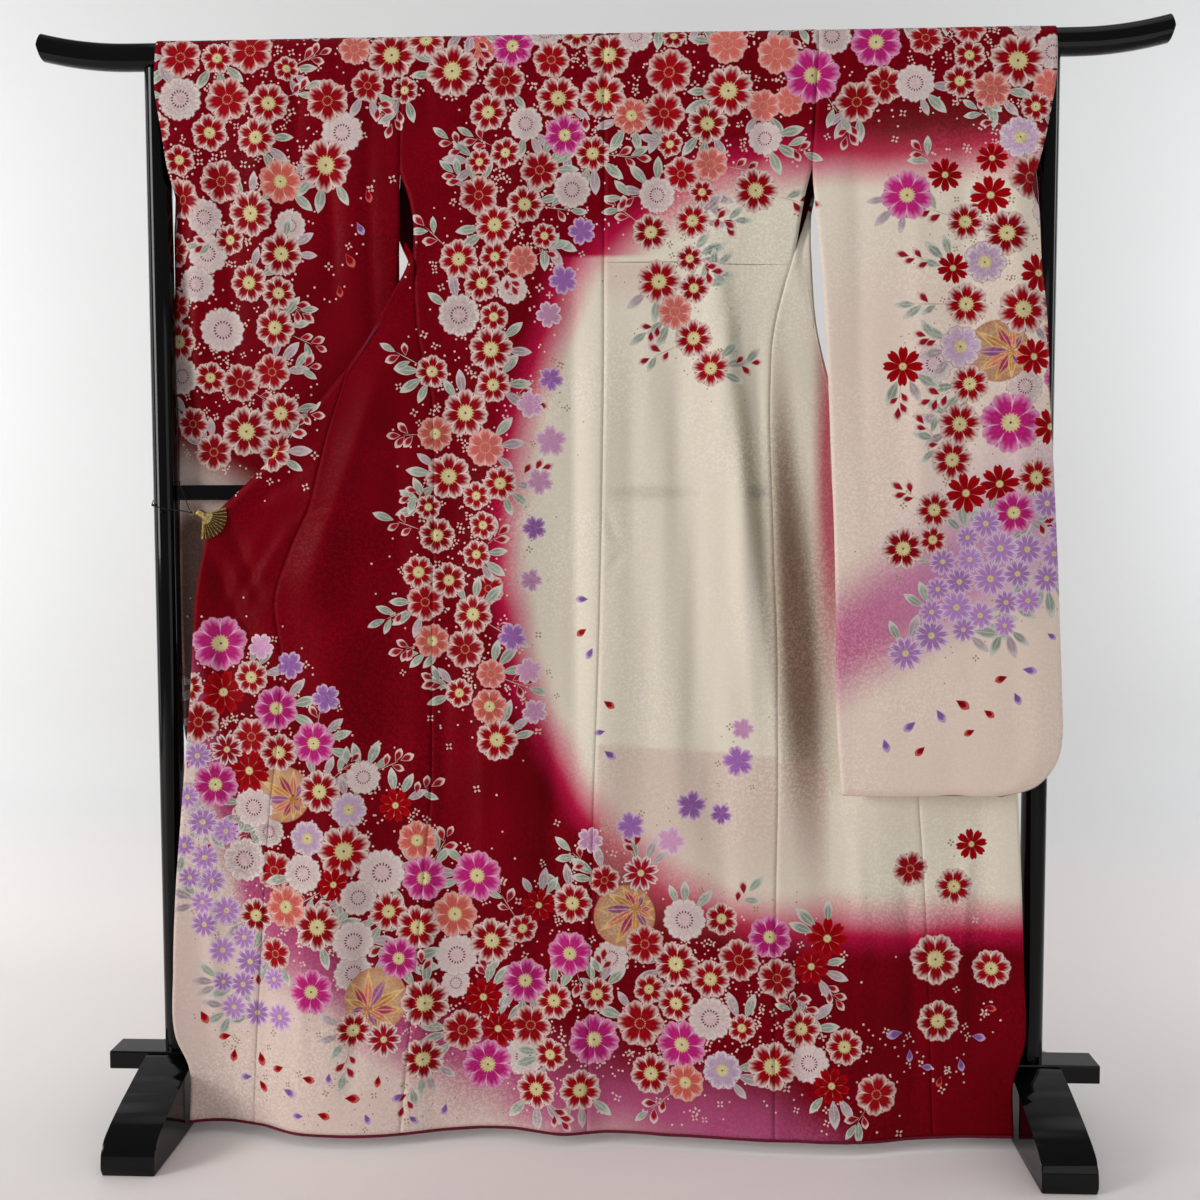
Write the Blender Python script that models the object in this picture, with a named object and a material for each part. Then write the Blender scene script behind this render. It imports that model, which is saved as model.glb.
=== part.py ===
"""Furisode kimono opened out on a lacquered kimono stand, seen from its back.

Frame: X to the right, Y away from the viewer, Z up, metres. The origin is on the floor, under the middle of the stand.
The kimono hangs over the top bar, which runs through both sleeves. Its back and its spread fronts hang before the bar.
Each cloth piece is a wall of even thickness on a middle surface, which a table of named sections gives.
"""

import math
from collections import namedtuple

import bmesh
import bpy
from mathutils import Vector

# Stand sizes
POST_X = 0.66
POST_RADIUS = 0.0185
BAR_Z = 1.6255
BAR_HALF_HEIGHT = 0.0200
BAR_HALF_DEPTH = 0.0160
BAR_SQUARENESS = 0.85
BAR_REACH = 0.838
BAR_BEND_START = 0.70
BAR_TIP_RISE = 0.0165
CROSSBAR_Z = 0.9733
CROSSBAR_HALF_HEIGHT = 0.0115
CROSSBAR_HALF_DEPTH = 0.0100
BEAM_BOTTOM = 0.0802
BEAM_TOP = 0.1082
BEAM_HALF_DEPTH = 0.0257
BEAM_REACH = 0.7587
FOOT_HALF_WIDTH = 0.0389
FOOT_REACH = 0.2010
FOOT_ARCH = 0.006
FOOT_ARCH_REACH = 0.115
JOINT_GAP = 0.0003

# Cloth sizes
WALL = 0.0015
COLLAR_WALL = 0.0025
SEAM_GAP = 0.0004
FOLDED_SEAM_GAP = 0.0009
CROTCH_EASE = 0.0006
OVER_BAR_GAP = 0.0017
BAR_ARC_STEPS = 8
CENTRE_X = 0.013
NECK_HALF_WIDTH = 0.093
NECK_DROP = 0.020
SHOULDER_Z = 1.598
SHOULDER_Y = 0.0206
HEM_Z = 0.022
COLLAR_SEAM = 0.0018
SLEEVE_BOTTOM = 0.527
SLEEVE_CORNER = 0.085

# Cells across each kind of piece
BACK_CELLS = 11
FRONT_CELLS = 10
OKUMI_CELLS = 5
SLEEVE_CELLS = 9
COLLAR_CELLS = 3

# Middle of the back, from the bar down: how far before the bar it hangs
Level = namedtuple("Level", "z value")
HANG = [
    Level(1.6255, -0.0177), Level(1.57, -0.0215), Level(1.51, -0.0260), Level(1.445, -0.0295),
    Level(1.32, -0.0330), Level(1.20, -0.0350), Level(0.97, -0.0390), Level(0.80, -0.0440),
    Level(0.60, -0.0520), Level(0.40, -0.0630), Level(0.20, -0.0750), Level(0.02, -0.0870),
]
# The right front hangs nearer the post, because the right sleeve hangs before it
HANG_RIGHT = [
    Level(1.6255, -0.0177), Level(1.32, -0.0330), Level(1.10, -0.0340), Level(0.90, -0.0340),
    Level(0.70, -0.0380), Level(0.53, -0.0440), Level(0.40, -0.0540), Level(0.20, -0.0690),
    Level(0.02, -0.0870),
]
RIGHT_BLEND = (0.27, 0.34)
# How far the hem swings back (+) or forward (-) at each place along it
Swing = namedtuple("Swing", "x value")
HEM_SWING = [
    Swing(-0.64, 0.010), Swing(-0.58, 0.026), Swing(-0.51, 0.012), Swing(-0.44, -0.018),
    Swing(-0.35, -0.022), Swing(-0.29, -0.012), Swing(-0.20, 0.012), Swing(-0.13, 0.016),
    Swing(-0.05, -0.004), Swing(0.02, 0.008), Swing(0.13, 0.000), Swing(0.26, -0.012),
    Swing(0.39, -0.012), Swing(0.50, 0.008), Swing(0.64, 0.014),
]
HEM_SWING_TOP = 0.62
# The largest folds: a soft line from a top point to a bottom point, its half width and its depth away from the viewer
Fold = namedtuple("Fold", "x_top z_top x_bottom z_bottom width depth")
FOLDS = [
    Fold(-0.215, 1.25, -0.225, 0.30, 0.040, 0.0080),
    Fold(-0.140, 1.30, -0.130, 0.15, 0.034, -0.0060),
    Fold(-0.070, 1.20, -0.055, 0.10, 0.032, 0.0070),
    Fold(0.060, 1.30, 0.075, 0.20, 0.036, 0.0075),
    Fold(0.130, 1.25, 0.140, 0.30, 0.030, -0.0060),
    Fold(0.195, 1.20, 0.205, 0.25, 0.030, 0.0075),
    Fold(0.315, 1.05, 0.345, 0.35, 0.030, 0.0090),
    Fold(-0.290, 1.02, -0.330, 0.10, 0.038, 0.0080),
    Fold(-0.395, 0.90, -0.400, 0.10, 0.034, -0.0070),
    Fold(-0.560, 0.88, -0.530, 0.30, 0.026, 0.0080),
    Fold(-0.540, 0.92, -0.300, 0.80, 0.026, 0.0060),
    Fold(0.420, 0.90, 0.425, 0.10, 0.034, -0.0060),
    Fold(0.560, 0.85, 0.565, 0.15, 0.032, 0.0070),
]

# Side seams and centre seam of the back, from the bar down
LEFT_SIDE = [
    Level(1.6255, -0.2865), Level(1.57, -0.2875), Level(1.51, -0.2885), Level(1.445, -0.2895),
    Level(1.41, -0.2770), Level(1.37, -0.2690), Level(1.32, -0.2700), Level(1.20, -0.2630),
    Level(1.10, -0.2430), Level(0.80, -0.2450), Level(0.51, -0.2480), Level(0.42, -0.2560),
    Level(0.20, -0.2740), Level(0.02, -0.2900),
]
CENTRE_SEAM = [
    Level(1.6455, 0.013), Level(1.31, 0.013), Level(1.10, 0.012), Level(0.74, 0.005), Level(0.51, -0.003),
    Level(0.02, -0.013),
]
RIGHT_SIDE = [
    Level(1.6255, 0.3265), Level(1.57, 0.3235), Level(1.51, 0.3205), Level(1.445, 0.3170),
    Level(1.41, 0.3080), Level(1.37, 0.3005), Level(1.32, 0.2920), Level(1.22, 0.2640),
    Level(1.10, 0.2570), Level(0.92, 0.2610), Level(0.73, 0.2670), Level(0.51, 0.2700),
    Level(0.34, 0.2660), Level(0.02, 0.2640),
]
# Overlap seams and free front edges of the spread fronts
LEFT_OKUMI = [
    Level(1.163, -0.366), Level(1.148, -0.371), Level(1.131, -0.3765), Level(1.058, -0.401), Level(0.921, -0.440),
    Level(0.860, -0.478), Level(0.80, -0.482), Level(0.69, -0.472), Level(0.447, -0.495),
    Level(0.247, -0.509), Level(0.02, -0.519),
]
LEFT_EDGE = [
    Level(0.928, -0.583), Level(0.902, -0.587), Level(0.82, -0.602), Level(0.75, -0.607),
    Level(0.66, -0.612), Level(0.50, -0.625), Level(0.355, -0.636), Level(0.231, -0.640),
    Level(0.150, -0.637), Level(0.125, -0.6290), Level(0.100, -0.6180), Level(0.02, -0.6172),
]
RIGHT_OKUMI = [
    Level(1.105, 0.348), Level(1.09, 0.3515), Level(1.073, 0.3525), Level(1.045, 0.356), Level(0.968, 0.379),
    Level(0.865, 0.420), Level(0.71, 0.458), Level(0.52, 0.478), Level(0.33, 0.490), Level(0.02, 0.498),
]
RIGHT_EDGE = [
    Level(0.928, 0.592), Level(0.85, 0.604), Level(0.70, 0.616), Level(0.52, 0.624), Level(0.25, 0.634),
    Level(0.150, 0.634), Level(0.125, 0.6280), Level(0.100, 0.6180), Level(0.02, 0.6172),
]

# Heights of the rows. The back and the sleeves share ARM_ROWS at their seam, the back and the fronts share side.
ARM_ROWS = (1.57, 1.51, 1.445)
GAP_ROWS = (1.41, 1.365)
Row = namedtuple("Row", "side left_okumi left_edge right_okumi right_edge")
WING_ROWS = [
    Row(1.320, 1.131, 0.906, 1.073, 0.906),
    Row(1.270, 1.100, 0.880, 1.045, 0.880),
    Row(1.200, 1.058, 0.850, 1.010, 0.850),
    Row(1.120, 1.010, 0.815, 0.968, 0.815),
    Row(1.040, 0.955, 0.780, 0.922, 0.780),
    Row(0.950, 0.890, 0.735, 0.865, 0.735),
    Row(0.860, 0.815, 0.680, 0.795, 0.680),
    Row(0.760, 0.730, 0.615, 0.710, 0.615),
    Row(0.640, 0.615, 0.535, 0.605, 0.535),
    Row(0.520, 0.500, 0.450, 0.493, 0.450),
    Row(0.400, 0.385, 0.355, 0.382, 0.355),
    Row(0.280, 0.270, 0.255, 0.269, 0.255),
    Row(0.160, 0.155, 0.150, 0.155, 0.150),
    Row(0.085, 0.086, 0.098, 0.086, 0.098),
    Row(HEM_Z, HEM_Z, HEM_Z, HEM_Z, HEM_Z),
]

# Upper sections of the fronts, from the shoulder behind the bar, through the armhole slit and over the slanting top
# fold. Each holds points across the cloth, from the armhole edge to the collar or overlap seam.
Section = namedtuple("Section", "armhole band crook middle seam")
SECTION_PLACES = (0.0, 0.12, 0.25, 0.6, 1.0)
LEFT_TOP = [
    Section((-0.2865, 0.0206, 1.5977), (-0.262, 0.0206, 1.5977), (-0.235, 0.0206, 1.5977), (-0.162, 0.0206, 1.5977),
            (-0.080, 0.0206, 1.5977)),
    Section((-0.2960, 0.0310, 1.500), (-0.272, 0.0315, 1.500), (-0.246, 0.0320, 1.500), (-0.177, 0.0325, 1.500),
            (-0.098, 0.0330, 1.500)),
    Section((-0.3020, 0.0320, 1.420), (-0.281, 0.0325, 1.416), (-0.258, 0.0330, 1.412), (-0.200, 0.0335, 1.406),
            (-0.135, 0.0340, 1.400)),
    Section((-0.3025, 0.0280, 1.395), (-0.286, 0.0270, 1.378), (-0.267, 0.0260, 1.362), (-0.225, 0.0270, 1.338),
            (-0.175, 0.0270, 1.310)),
    Section((-0.3020, 0.0225, 1.382), (-0.292, 0.0170, 1.352), (-0.272, 0.0100, 1.322), (-0.258, 0.0060, 1.280),
            (-0.232, 0.0040, 1.235)),
    Section((-0.3005, 0.0150, 1.373), (-0.294, 0.0060, 1.341), (-0.271, -0.0160, 1.293), (-0.300, -0.0215, 1.236),
            (-0.357, -0.0215, 1.158)),
    Section((-0.2970, 0.0070, 1.364), (-0.290, -0.0040, 1.334), (-0.274, -0.0270, 1.295), (-0.312, -0.0310, 1.238),
            (-0.366, -0.0310, 1.163)),
    Section((-0.2830, -0.0120, 1.341), (-0.279, -0.0190, 1.318), (-0.2755, -0.0300, 1.288), (-0.315, -0.0350, 1.226),
            (-0.371, -0.0360, 1.148)),
]
RIGHT_TOP = [
    Section((0.3235, 0.0206, 1.5977), (0.298, 0.0206, 1.5977), (0.270, 0.0206, 1.5977), (0.194, 0.0206, 1.5977),
            (0.106, 0.0206, 1.5977)),
    Section((0.3260, 0.0310, 1.500), (0.302, 0.0315, 1.500), (0.277, 0.0320, 1.500), (0.207, 0.0325, 1.500),
            (0.124, 0.0330, 1.500)),
    Section((0.3285, 0.0320, 1.430), (0.308, 0.0325, 1.424), (0.286, 0.0330, 1.418), (0.228, 0.0335, 1.410),
            (0.160, 0.0340, 1.400)),
    Section((0.3280, 0.0270, 1.418), (0.312, 0.0260, 1.395), (0.294, 0.0260, 1.372), (0.252, 0.0270, 1.343),
            (0.200, 0.0270, 1.310)),
    Section((0.3262, 0.0190, 1.412), (0.318, 0.0150, 1.378), (0.304, 0.0100, 1.338), (0.281, 0.0060, 1.250),
            (0.250, 0.0040, 1.130)),
    Section((0.3235, 0.0080, 1.408), (0.317, -0.0020, 1.372), (0.3085, -0.0150, 1.330), (0.3135, -0.0215, 1.205),
            (0.340, -0.0215, 1.098)),
    Section((0.3205, -0.0030, 1.405), (0.3165, -0.0140, 1.370), (0.3150, -0.0250, 1.333), (0.3215, -0.0310, 1.213),
            (0.348, -0.0310, 1.105)),
    Section((0.3060, -0.0180, 1.362), (0.3070, -0.0245, 1.335), (0.3080, -0.0310, 1.305), (0.3235, -0.0350, 1.194),
            (0.3515, -0.0345, 1.090)),
]
# Top sections of the overlap panels, which start at a point on the collar and turn over the slanting fold
OkumiSection = namedtuple("OkumiSection", "seam middle edge")
OKUMI_PLACES = (0.0, 0.5, 1.0)
LEFT_OKUMI_TOP = [
    OkumiSection(LEFT_TOP[4].seam, (-0.2360, 0.0036, 1.2300), (-0.2400, 0.0032, 1.2250)),
    OkumiSection(LEFT_TOP[5].seam, (-0.4550, -0.0235, 1.0450), (-0.5600, -0.0265, 0.9250)),
    OkumiSection(LEFT_TOP[6].seam, (-0.4680, -0.0330, 1.0440), (-0.5830, -0.0345, 0.9280)),
    OkumiSection(LEFT_TOP[7].seam, (-0.4720, -0.0370, 1.0300), (-0.5850, -0.0385, 0.9180)),
]
RIGHT_OKUMI_TOP = [
    OkumiSection(RIGHT_TOP[4].seam, (0.2540, 0.0036, 1.1260), (0.2580, 0.0032, 1.1220)),
    OkumiSection(RIGHT_TOP[5].seam, (0.4520, -0.0225, 1.0000), (0.5700, -0.0250, 0.9180)),
    OkumiSection(RIGHT_TOP[6].seam, (0.4620, -0.0310, 1.0120), (0.5920, -0.0320, 0.9280)),
    OkumiSection(RIGHT_TOP[7].seam, (0.4640, -0.0345, 0.9980), (0.5935, -0.0350, 0.9170)),
]

# Sleeve layers: the layer before the bar and the layer behind it, each from the bar down
Layer = namedtuple("Layer", "z inner_x inner_y outer_x outer_y")
CLOSED_BELOW_LEFT = 1.42
CLOSED_BELOW_RIGHT = 1.43
LEFT_SLEEVE_NEAR = [
    Layer(1.6255, -0.2865, -0.0177, -0.6560, -0.0177), Layer(1.57, -0.2875, -0.0215, -0.6550, -0.0250),
    Layer(1.51, -0.2885, -0.0260, -0.6460, -0.0265), Layer(1.445, -0.2895, -0.0295, -0.6372, -0.0215),
    Layer(1.39, -0.2910, -0.0200, -0.6372, -0.0100), Layer(1.32, -0.2955, -0.0090, -0.6352, 0.0000),
    Layer(1.24, -0.3000, 0.0000, -0.6352, 0.0060), Layer(1.13, -0.3040, 0.0090, -0.6372, 0.0120),
    Layer(1.02, -0.3060, 0.0155, -0.6378, 0.0170), Layer(0.90, -0.3080, 0.0180, -0.6378, 0.0190),
    Layer(0.77, -0.3100, 0.0200, -0.6378, 0.0200), Layer(0.66, -0.3100, 0.0200, -0.6378, 0.0200),
    Layer(SLEEVE_BOTTOM, -0.3100, 0.0200, -0.6378, 0.0200),
]
LEFT_SLEEVE_FAR = [
    Layer(1.6255, -0.2865, 0.0177, -0.6560, 0.0177), Layer(1.598, -0.2865, 0.0206, -0.6560, 0.0225),
    Layer(1.50, -0.2960, 0.0310, -0.6460, 0.0265), Layer(1.42, -0.3020, 0.0320, -0.6372, 0.0240),
    Layer(1.395, -0.3025, 0.0320, -0.6372, 0.0220), Layer(1.32, -0.3035, 0.0360, -0.6352, 0.0240),
    Layer(1.24, -0.3050, 0.0380, -0.6352, 0.0290), Layer(1.13, -0.3060, 0.0380, -0.6372, 0.0330),
    Layer(1.02, -0.3070, 0.0380, -0.6378, 0.0370), Layer(0.90, -0.3080, 0.0380, -0.6378, 0.0380),
    Layer(0.77, -0.3100, 0.0380, -0.6378, 0.0380), Layer(0.66, -0.3100, 0.0370, -0.6378, 0.0370),
    Layer(SLEEVE_BOTTOM, -0.3100, 0.0340, -0.6378, 0.0340),
]
RIGHT_SLEEVE_NEAR = [
    Layer(1.6255, 0.3265, -0.0177, 0.6690, -0.0177), Layer(1.57, 0.3235, -0.0215, 0.6660, -0.0270),
    Layer(1.51, 0.3205, -0.0260, 0.6550, -0.0360), Layer(1.445, 0.3170, -0.0295, 0.6390, -0.0450),
    Layer(1.39, 0.3195, -0.0420, 0.6390, -0.0520), Layer(1.32, 0.3250, -0.0560, 0.6400, -0.0590),
    Layer(1.24, 0.3310, -0.0640, 0.6480, -0.0640), Layer(1.13, 0.3370, -0.0680, 0.6540, -0.0670),
    Layer(1.02, 0.3420, -0.0710, 0.6600, -0.0690), Layer(0.90, 0.3470, -0.0740, 0.6670, -0.0720),
    Layer(0.77, 0.3500, -0.0770, 0.6730, -0.0750), Layer(0.66, 0.3510, -0.0790, 0.6780, -0.0770),
    Layer(SLEEVE_BOTTOM, 0.3600, -0.0810, 0.6780, -0.0790),
]
RIGHT_SLEEVE_FAR = [
    Layer(1.6255, 0.3265, 0.0177, 0.6690, 0.0177), Layer(1.598, 0.3235, 0.0206, 0.6400, 0.0190),
    Layer(1.50, 0.3260, 0.0310, 0.6330, 0.0050), Layer(1.43, 0.3285, 0.0320, 0.6345, -0.0270),
    Layer(1.40, 0.3310, 0.0260, 0.6390, -0.0330), Layer(1.32, 0.3390, 0.0060, 0.6400, -0.0420),
    Layer(1.24, 0.3420, -0.0200, 0.6480, -0.0490), Layer(1.13, 0.3420, -0.0460, 0.6540, -0.0520),
    Layer(1.02, 0.3430, -0.0530, 0.6600, -0.0540), Layer(0.90, 0.3430, -0.0550, 0.6670, -0.0550),
    Layer(0.77, 0.3440, -0.0580, 0.6730, -0.0580), Layer(0.66, 0.3440, -0.0600, 0.6780, -0.0600),
    Layer(SLEEVE_BOTTOM, 0.3560, -0.0650, 0.6780, -0.0650),
]
SLEEVE_LOW_ROWS = (1.37, 1.30, 1.22, 1.12, 1.01, 0.90, 0.78, 0.66)
SLEEVE_FAR_ROWS = (SHOULDER_Z, 1.50)
SLEEVE_CORNER_ROWS = (0.085, 0.055, 0.030, 0.012, 0.0)

# Collar: where it is sewn on, and its free edge, from the middle of the back neck to the collar's end
Band = namedtuple("Band", "sewn free")
LEFT_COLLAR = [
    Band((0.0130, 0.0196, 1.6168), (0.0130, 0.0290, 1.5640)),
    Band((-0.0300, 0.0197, 1.6130), (-0.0180, 0.0295, 1.5610)),
    Band((-0.0620, 0.0203, 1.6040), (-0.0330, 0.0310, 1.5560)),
    Band((-0.0792, 0.0214, 1.5900), (-0.0370, 0.0330, 1.5490)),
    Band((-0.0860, 0.0270, 1.5500), (-0.0380, 0.0360, 1.5280)),
    Band((-0.0975, 0.0330, 1.5000), (-0.0470, 0.0400, 1.4800)),
    Band((-0.1345, 0.0340, 1.3995), (-0.0840, 0.0410, 1.3720)),
    Band((-0.1745, 0.0270, 1.3095), (-0.1270, 0.0330, 1.2720)),
    Band((-0.2317, 0.0040, 1.2345), (-0.1900, 0.0090, 1.1900)),
    Band((-0.3200, -0.0041, 1.1500), (-0.2740, -0.0040, 1.1020)),
    Band((-0.4000, -0.0114, 1.0750), (-0.3540, -0.0140, 1.0200)),
    Band((-0.4800, -0.0189, 0.9996), (-0.4330, -0.0185, 0.9400)),
    Band((-0.5520, -0.0255, 0.9320), (-0.5040, -0.0215, 0.8680)),
]
RIGHT_COLLAR = [
    Band((0.0136, 0.0196, 1.6168), (0.0136, 0.0290, 1.5640)),
    Band((0.0560, 0.0197, 1.6130), (0.0440, 0.0295, 1.5610)),
    Band((0.0880, 0.0203, 1.6040), (0.0590, 0.0310, 1.5560)),
    Band((0.1052, 0.0214, 1.5900), (0.0630, 0.0330, 1.5490)),
    Band((0.1120, 0.0270, 1.5500), (0.0640, 0.0360, 1.5280)),
    Band((0.1235, 0.0330, 1.5000), (0.0730, 0.0400, 1.4800)),
    Band((0.1595, 0.0340, 1.3995), (0.1090, 0.0410, 1.3720)),
    Band((0.1995, 0.0270, 1.3095), (0.1500, 0.0330, 1.2850)),
    Band((0.2497, 0.0040, 1.1300), (0.2020, 0.0085, 1.0930)),
    Band((0.2583, 0.0032, 1.1215), (0.2115, 0.0072, 1.0795)),
    Band((0.3430, -0.0045, 1.0660), (0.3090, -0.0118, 1.0130)),
    Band((0.4240, -0.0118, 1.0135), (0.3900, -0.0140, 0.9600)),
    Band((0.4990, -0.0185, 0.9646), (0.4650, -0.0180, 0.9110)),
    Band((0.5610, -0.0241, 0.9240), (0.5270, -0.0205, 0.8680)),
]
OVER_COLLAR_ROWS = 8
OVER_COLLAR_OFFSET = 0.0032
OVER_COLLAR_WALL = 0.0015

# Hem roll of the lining, which shows under the cloth's lower edge
HEM_ROLL_HEIGHT = 0.0050
HEM_ROLL_DEPTH = 0.0030

# Clip and its thread
FAN_PIVOT = (-0.5880, -0.0430, 0.9390)
FAN_RADIUS = 0.0360
FAN_HUB_RADIUS = 0.0050
FAN_START_DEG = 16.0
FAN_SWEEP_DEG = -110.0
FAN_PLEATS = 11
FAN_PLEAT_HEIGHT = 0.0012
FAN_WALL = 0.0012
JAW_BACK_Y = -0.0250
JAW_BACK_TIP_Y = -0.0258
JAW_FRONT_Y = -0.0408
JAW_WALL = 0.0014
RING_CENTRE = (-0.6088, -0.0335, 0.9430)
RING_RADIUS = 0.0036
RING_WIRE = 0.0006
THREAD_RADIUS = 0.0007
THREAD_ROUTE = [
    (-0.6088, -0.0335, 0.9430), (-0.6132, -0.0364, 0.9436), (-0.6250, -0.0315, 0.9455), (-0.6400, -0.0250, 0.9470),
    (-0.6600, -0.0205, 0.9500), (-0.6752, -0.0137, 0.9540), (-0.6805, 0.0000, 0.9610), (-0.6752, 0.0137, 0.9750),
    (-0.6600, 0.0205, 0.9870), (-0.6455, 0.0150, 0.9910), (-0.6390, 0.0020, 0.9905), (-0.6330, -0.0140, 0.9850),
    (-0.6200, -0.0250, 0.9600), (-0.6132, -0.0302, 0.9470),
]
THREAD_STEPS = 5

LACQUER = ("lacquer_black", (0.004, 0.004, 0.005), 0.08, 0.0)
SILK = ("silk_printed", (0.36, 0.01, 0.03), 0.45, 0.0)
LINING = ("silk_lining", (0.24, 0.03, 0.07), 0.5, 0.0)
GOLD = ("clip_gold", (0.72, 0.55, 0.22), 0.3, 1.0)
THREAD = ("thread_black", (0.01, 0.01, 0.01), 0.7, 0.0)


def material(finish):
    """The piece's Principled material, made once for each finish."""
    name, colour, roughness, metallic = finish
    found = bpy.data.materials.get(name)
    if found:
        return found
    made = bpy.data.materials.new(name)
    made.use_nodes = True
    shader = made.node_tree.nodes["Principled BSDF"]
    shader.inputs["Base Color"].default_value = (*colour, 1.0)
    shader.inputs["Roughness"].default_value = roughness
    shader.inputs["Metallic"].default_value = metallic
    made.diffuse_color = (*colour, 1.0)
    return made


def add_object(name, mesh, finish):
    obj = bpy.data.objects.new(name, mesh)
    bpy.context.scene.collection.objects.link(obj)
    mesh.materials.append(material(finish))
    mesh.shade_smooth()
    mesh.set_sharp_from_angle(angle=math.radians(35))
    return obj


def eased(places, values, at):
    """A smooth curve through tuples of values at rising places."""
    at = min(max(at, places[0]), places[-1])
    last = len(places) - 1
    i = max(k for k in range(last) if places[k] <= at)

    def slope(k, axis):
        low, high = max(k - 1, 0), min(k + 1, last)
        return (values[high][axis] - values[low][axis]) / (places[high] - places[low])

    span = places[i + 1] - places[i]
    u = (at - places[i]) / span
    out = []
    for axis in range(len(values[0])):
        a, b = values[i][axis], values[i + 1][axis]
        ta, tb = slope(i, axis) * span, slope(i + 1, axis) * span
        out.append(
            (2 * u**3 - 3 * u**2 + 1) * a + (u**3 - 2 * u**2 + u) * ta
            + (3 * u**2 - 2 * u**3) * b + (u**3 - u**2) * tb
        )
    return out


def level(table, z):
    """A table's value at a height. The table runs down, so its rows are turned round."""
    rows = table[::-1]
    return eased([row.z for row in rows], [(row.value,) for row in rows], z)[0]


def smooth_step(low, high, x):
    u = min(max((x - low) / (high - low), 0.0), 1.0)
    return u * u * (3 - 2 * u)


def fold_depth(x, z):
    """How far the largest folds push the hanging cloth away from the viewer."""
    depth = 0.0
    for fold in FOLDS:
        along = Vector((fold.x_bottom - fold.x_top, fold.z_bottom - fold.z_top))
        offset = Vector((x - fold.x_top, z - fold.z_top))
        share = offset.dot(along) / along.length_squared
        aside = abs(offset.x * along.y - offset.y * along.x) / along.length
        ends = smooth_step(-0.15, 0.25, share) * (1 - smooth_step(0.80, 1.15, share))
        depth += fold.depth * ends * math.exp(-((aside / fold.width) ** 2))
    return depth


def drape(x, z):
    """The depth of the hanging back and fronts at a place on them."""
    share = smooth_step(*RIGHT_BLEND, x)
    hang = level(HANG, z) * (1 - share) + level(HANG_RIGHT, z) * share
    swing = eased([s.x for s in HEM_SWING], [(s.value,) for s in HEM_SWING], x)[0]
    return hang + fold_depth(x, z) + swing * (1 - smooth_step(0.0, HEM_SWING_TOP, z))


def bar_section(angle, out):
    """A point of the bar's rounded section, moved out by an even distance."""
    c, s = math.cos(angle), math.sin(angle)
    return (
        (BAR_HALF_DEPTH + out) * math.copysign(abs(c) ** BAR_SQUARENESS, c),
        (BAR_HALF_HEIGHT + out) * math.copysign(abs(s) ** BAR_SQUARENESS, s),
    )


def over_bar(step):
    """Depth and height of the cloth on the bar: step 0 is before it and BAR_ARC_STEPS behind it."""
    y, z = bar_section(math.pi * (1 - step / BAR_ARC_STEPS), OVER_BAR_GAP)
    return y, BAR_Z + z


def drawn_in(rows, column, folded_rows=0):
    """Draws one edge of the rows in by half a seam gap, square to that edge. The gap is wider where a seam folds over."""
    beside = 1 if column == 0 else -2
    edge = [Vector(row[column]) for row in rows]
    for k, row in enumerate(rows):
        along = (edge[min(k + 1, len(rows) - 1)] - edge[max(k - 1, 0)]).normalized()
        inward = Vector(row[beside]) - edge[k]
        inward -= along * inward.dot(along)
        gap = FOLDED_SEAM_GAP if k < folded_rows else SEAM_GAP
        row[column] = edge[k] + inward.normalized() * min(0.5 * gap, 0.3 * inward.length)
    return rows


def surface(rows):
    """A bmesh of quads through rows of points. Points that coincide are joined."""
    mesh = bmesh.new()
    grid = [[mesh.verts.new(point) for point in row] for row in rows]
    for upper, lower in zip(grid, grid[1:]):
        for k in range(len(upper) - 1):
            mesh.faces.new((upper[k], upper[k + 1], lower[k + 1], lower[k]))
    bmesh.ops.remove_doubles(mesh, verts=mesh.verts, dist=1e-6)
    bmesh.ops.recalc_face_normals(mesh, faces=mesh.faces)
    return mesh


def thicken(name, mesh, wall, finish):
    """Turns an open surface into a closed wall: both sides, and a rim along each free edge."""
    mesh.normal_update()
    sides = []
    for sign in (0.5, -0.5):
        sides.append({v: mesh.verts.new(v.co + v.normal * wall * sign) for v in list(mesh.verts) if v.link_faces})
    outer, inner = sides
    for face in [f for f in mesh.faces]:
        loop = list(face.verts)
        mesh.faces.new([outer[v] for v in loop])
        mesh.faces.new([inner[v] for v in reversed(loop)])
        for edge_loop in face.loops:
            if len(edge_loop.edge.link_faces) == 1 and edge_loop.vert in outer:
                a, b = edge_loop.vert, edge_loop.link_loop_next.vert
                mesh.faces.new((outer[b], outer[a], inner[a], inner[b]))
    bmesh.ops.delete(mesh, geom=list(outer), context="VERTS")
    bmesh.ops.recalc_face_normals(mesh, faces=mesh.faces)
    data = bpy.data.meshes.new(name)
    mesh.to_mesh(data)
    mesh.free()
    return add_object(name, data, finish)


def back_panel(name, side_table, shoulder_side):
    """One half of the back, from the shoulder line behind the bar, over it and down to the hem."""

    def across(start, end):
        return [start + (end - start) * k / BACK_CELLS for k in range(BACK_CELLS + 1)]

    shoulder = []
    for x in across(CENTRE_X, shoulder_side):
        reach = min(abs(x - CENTRE_X) / NECK_HALF_WIDTH, 1.0)
        shoulder.append((x, SHOULDER_Y - 0.0015 * (1 - reach**2), SHOULDER_Z + NECK_DROP * (1 - reach**2)))
    rows = [shoulder]
    for step in range(BAR_ARC_STEPS, -1, -1):
        depth, z = over_bar(step)
        rows.append([(x, depth, z) for x in across(CENTRE_X, level(side_table, BAR_Z))])
    for z in ARM_ROWS + GAP_ROWS + tuple(row.side for row in WING_ROWS):
        rows.append([(x, drape(x, z), z) for x in across(level(CENTRE_SEAM, z), level(side_table, z))])
    return thicken(name, surface(drawn_in(drawn_in(rows, 0), -1)), WALL, SILK)


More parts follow.
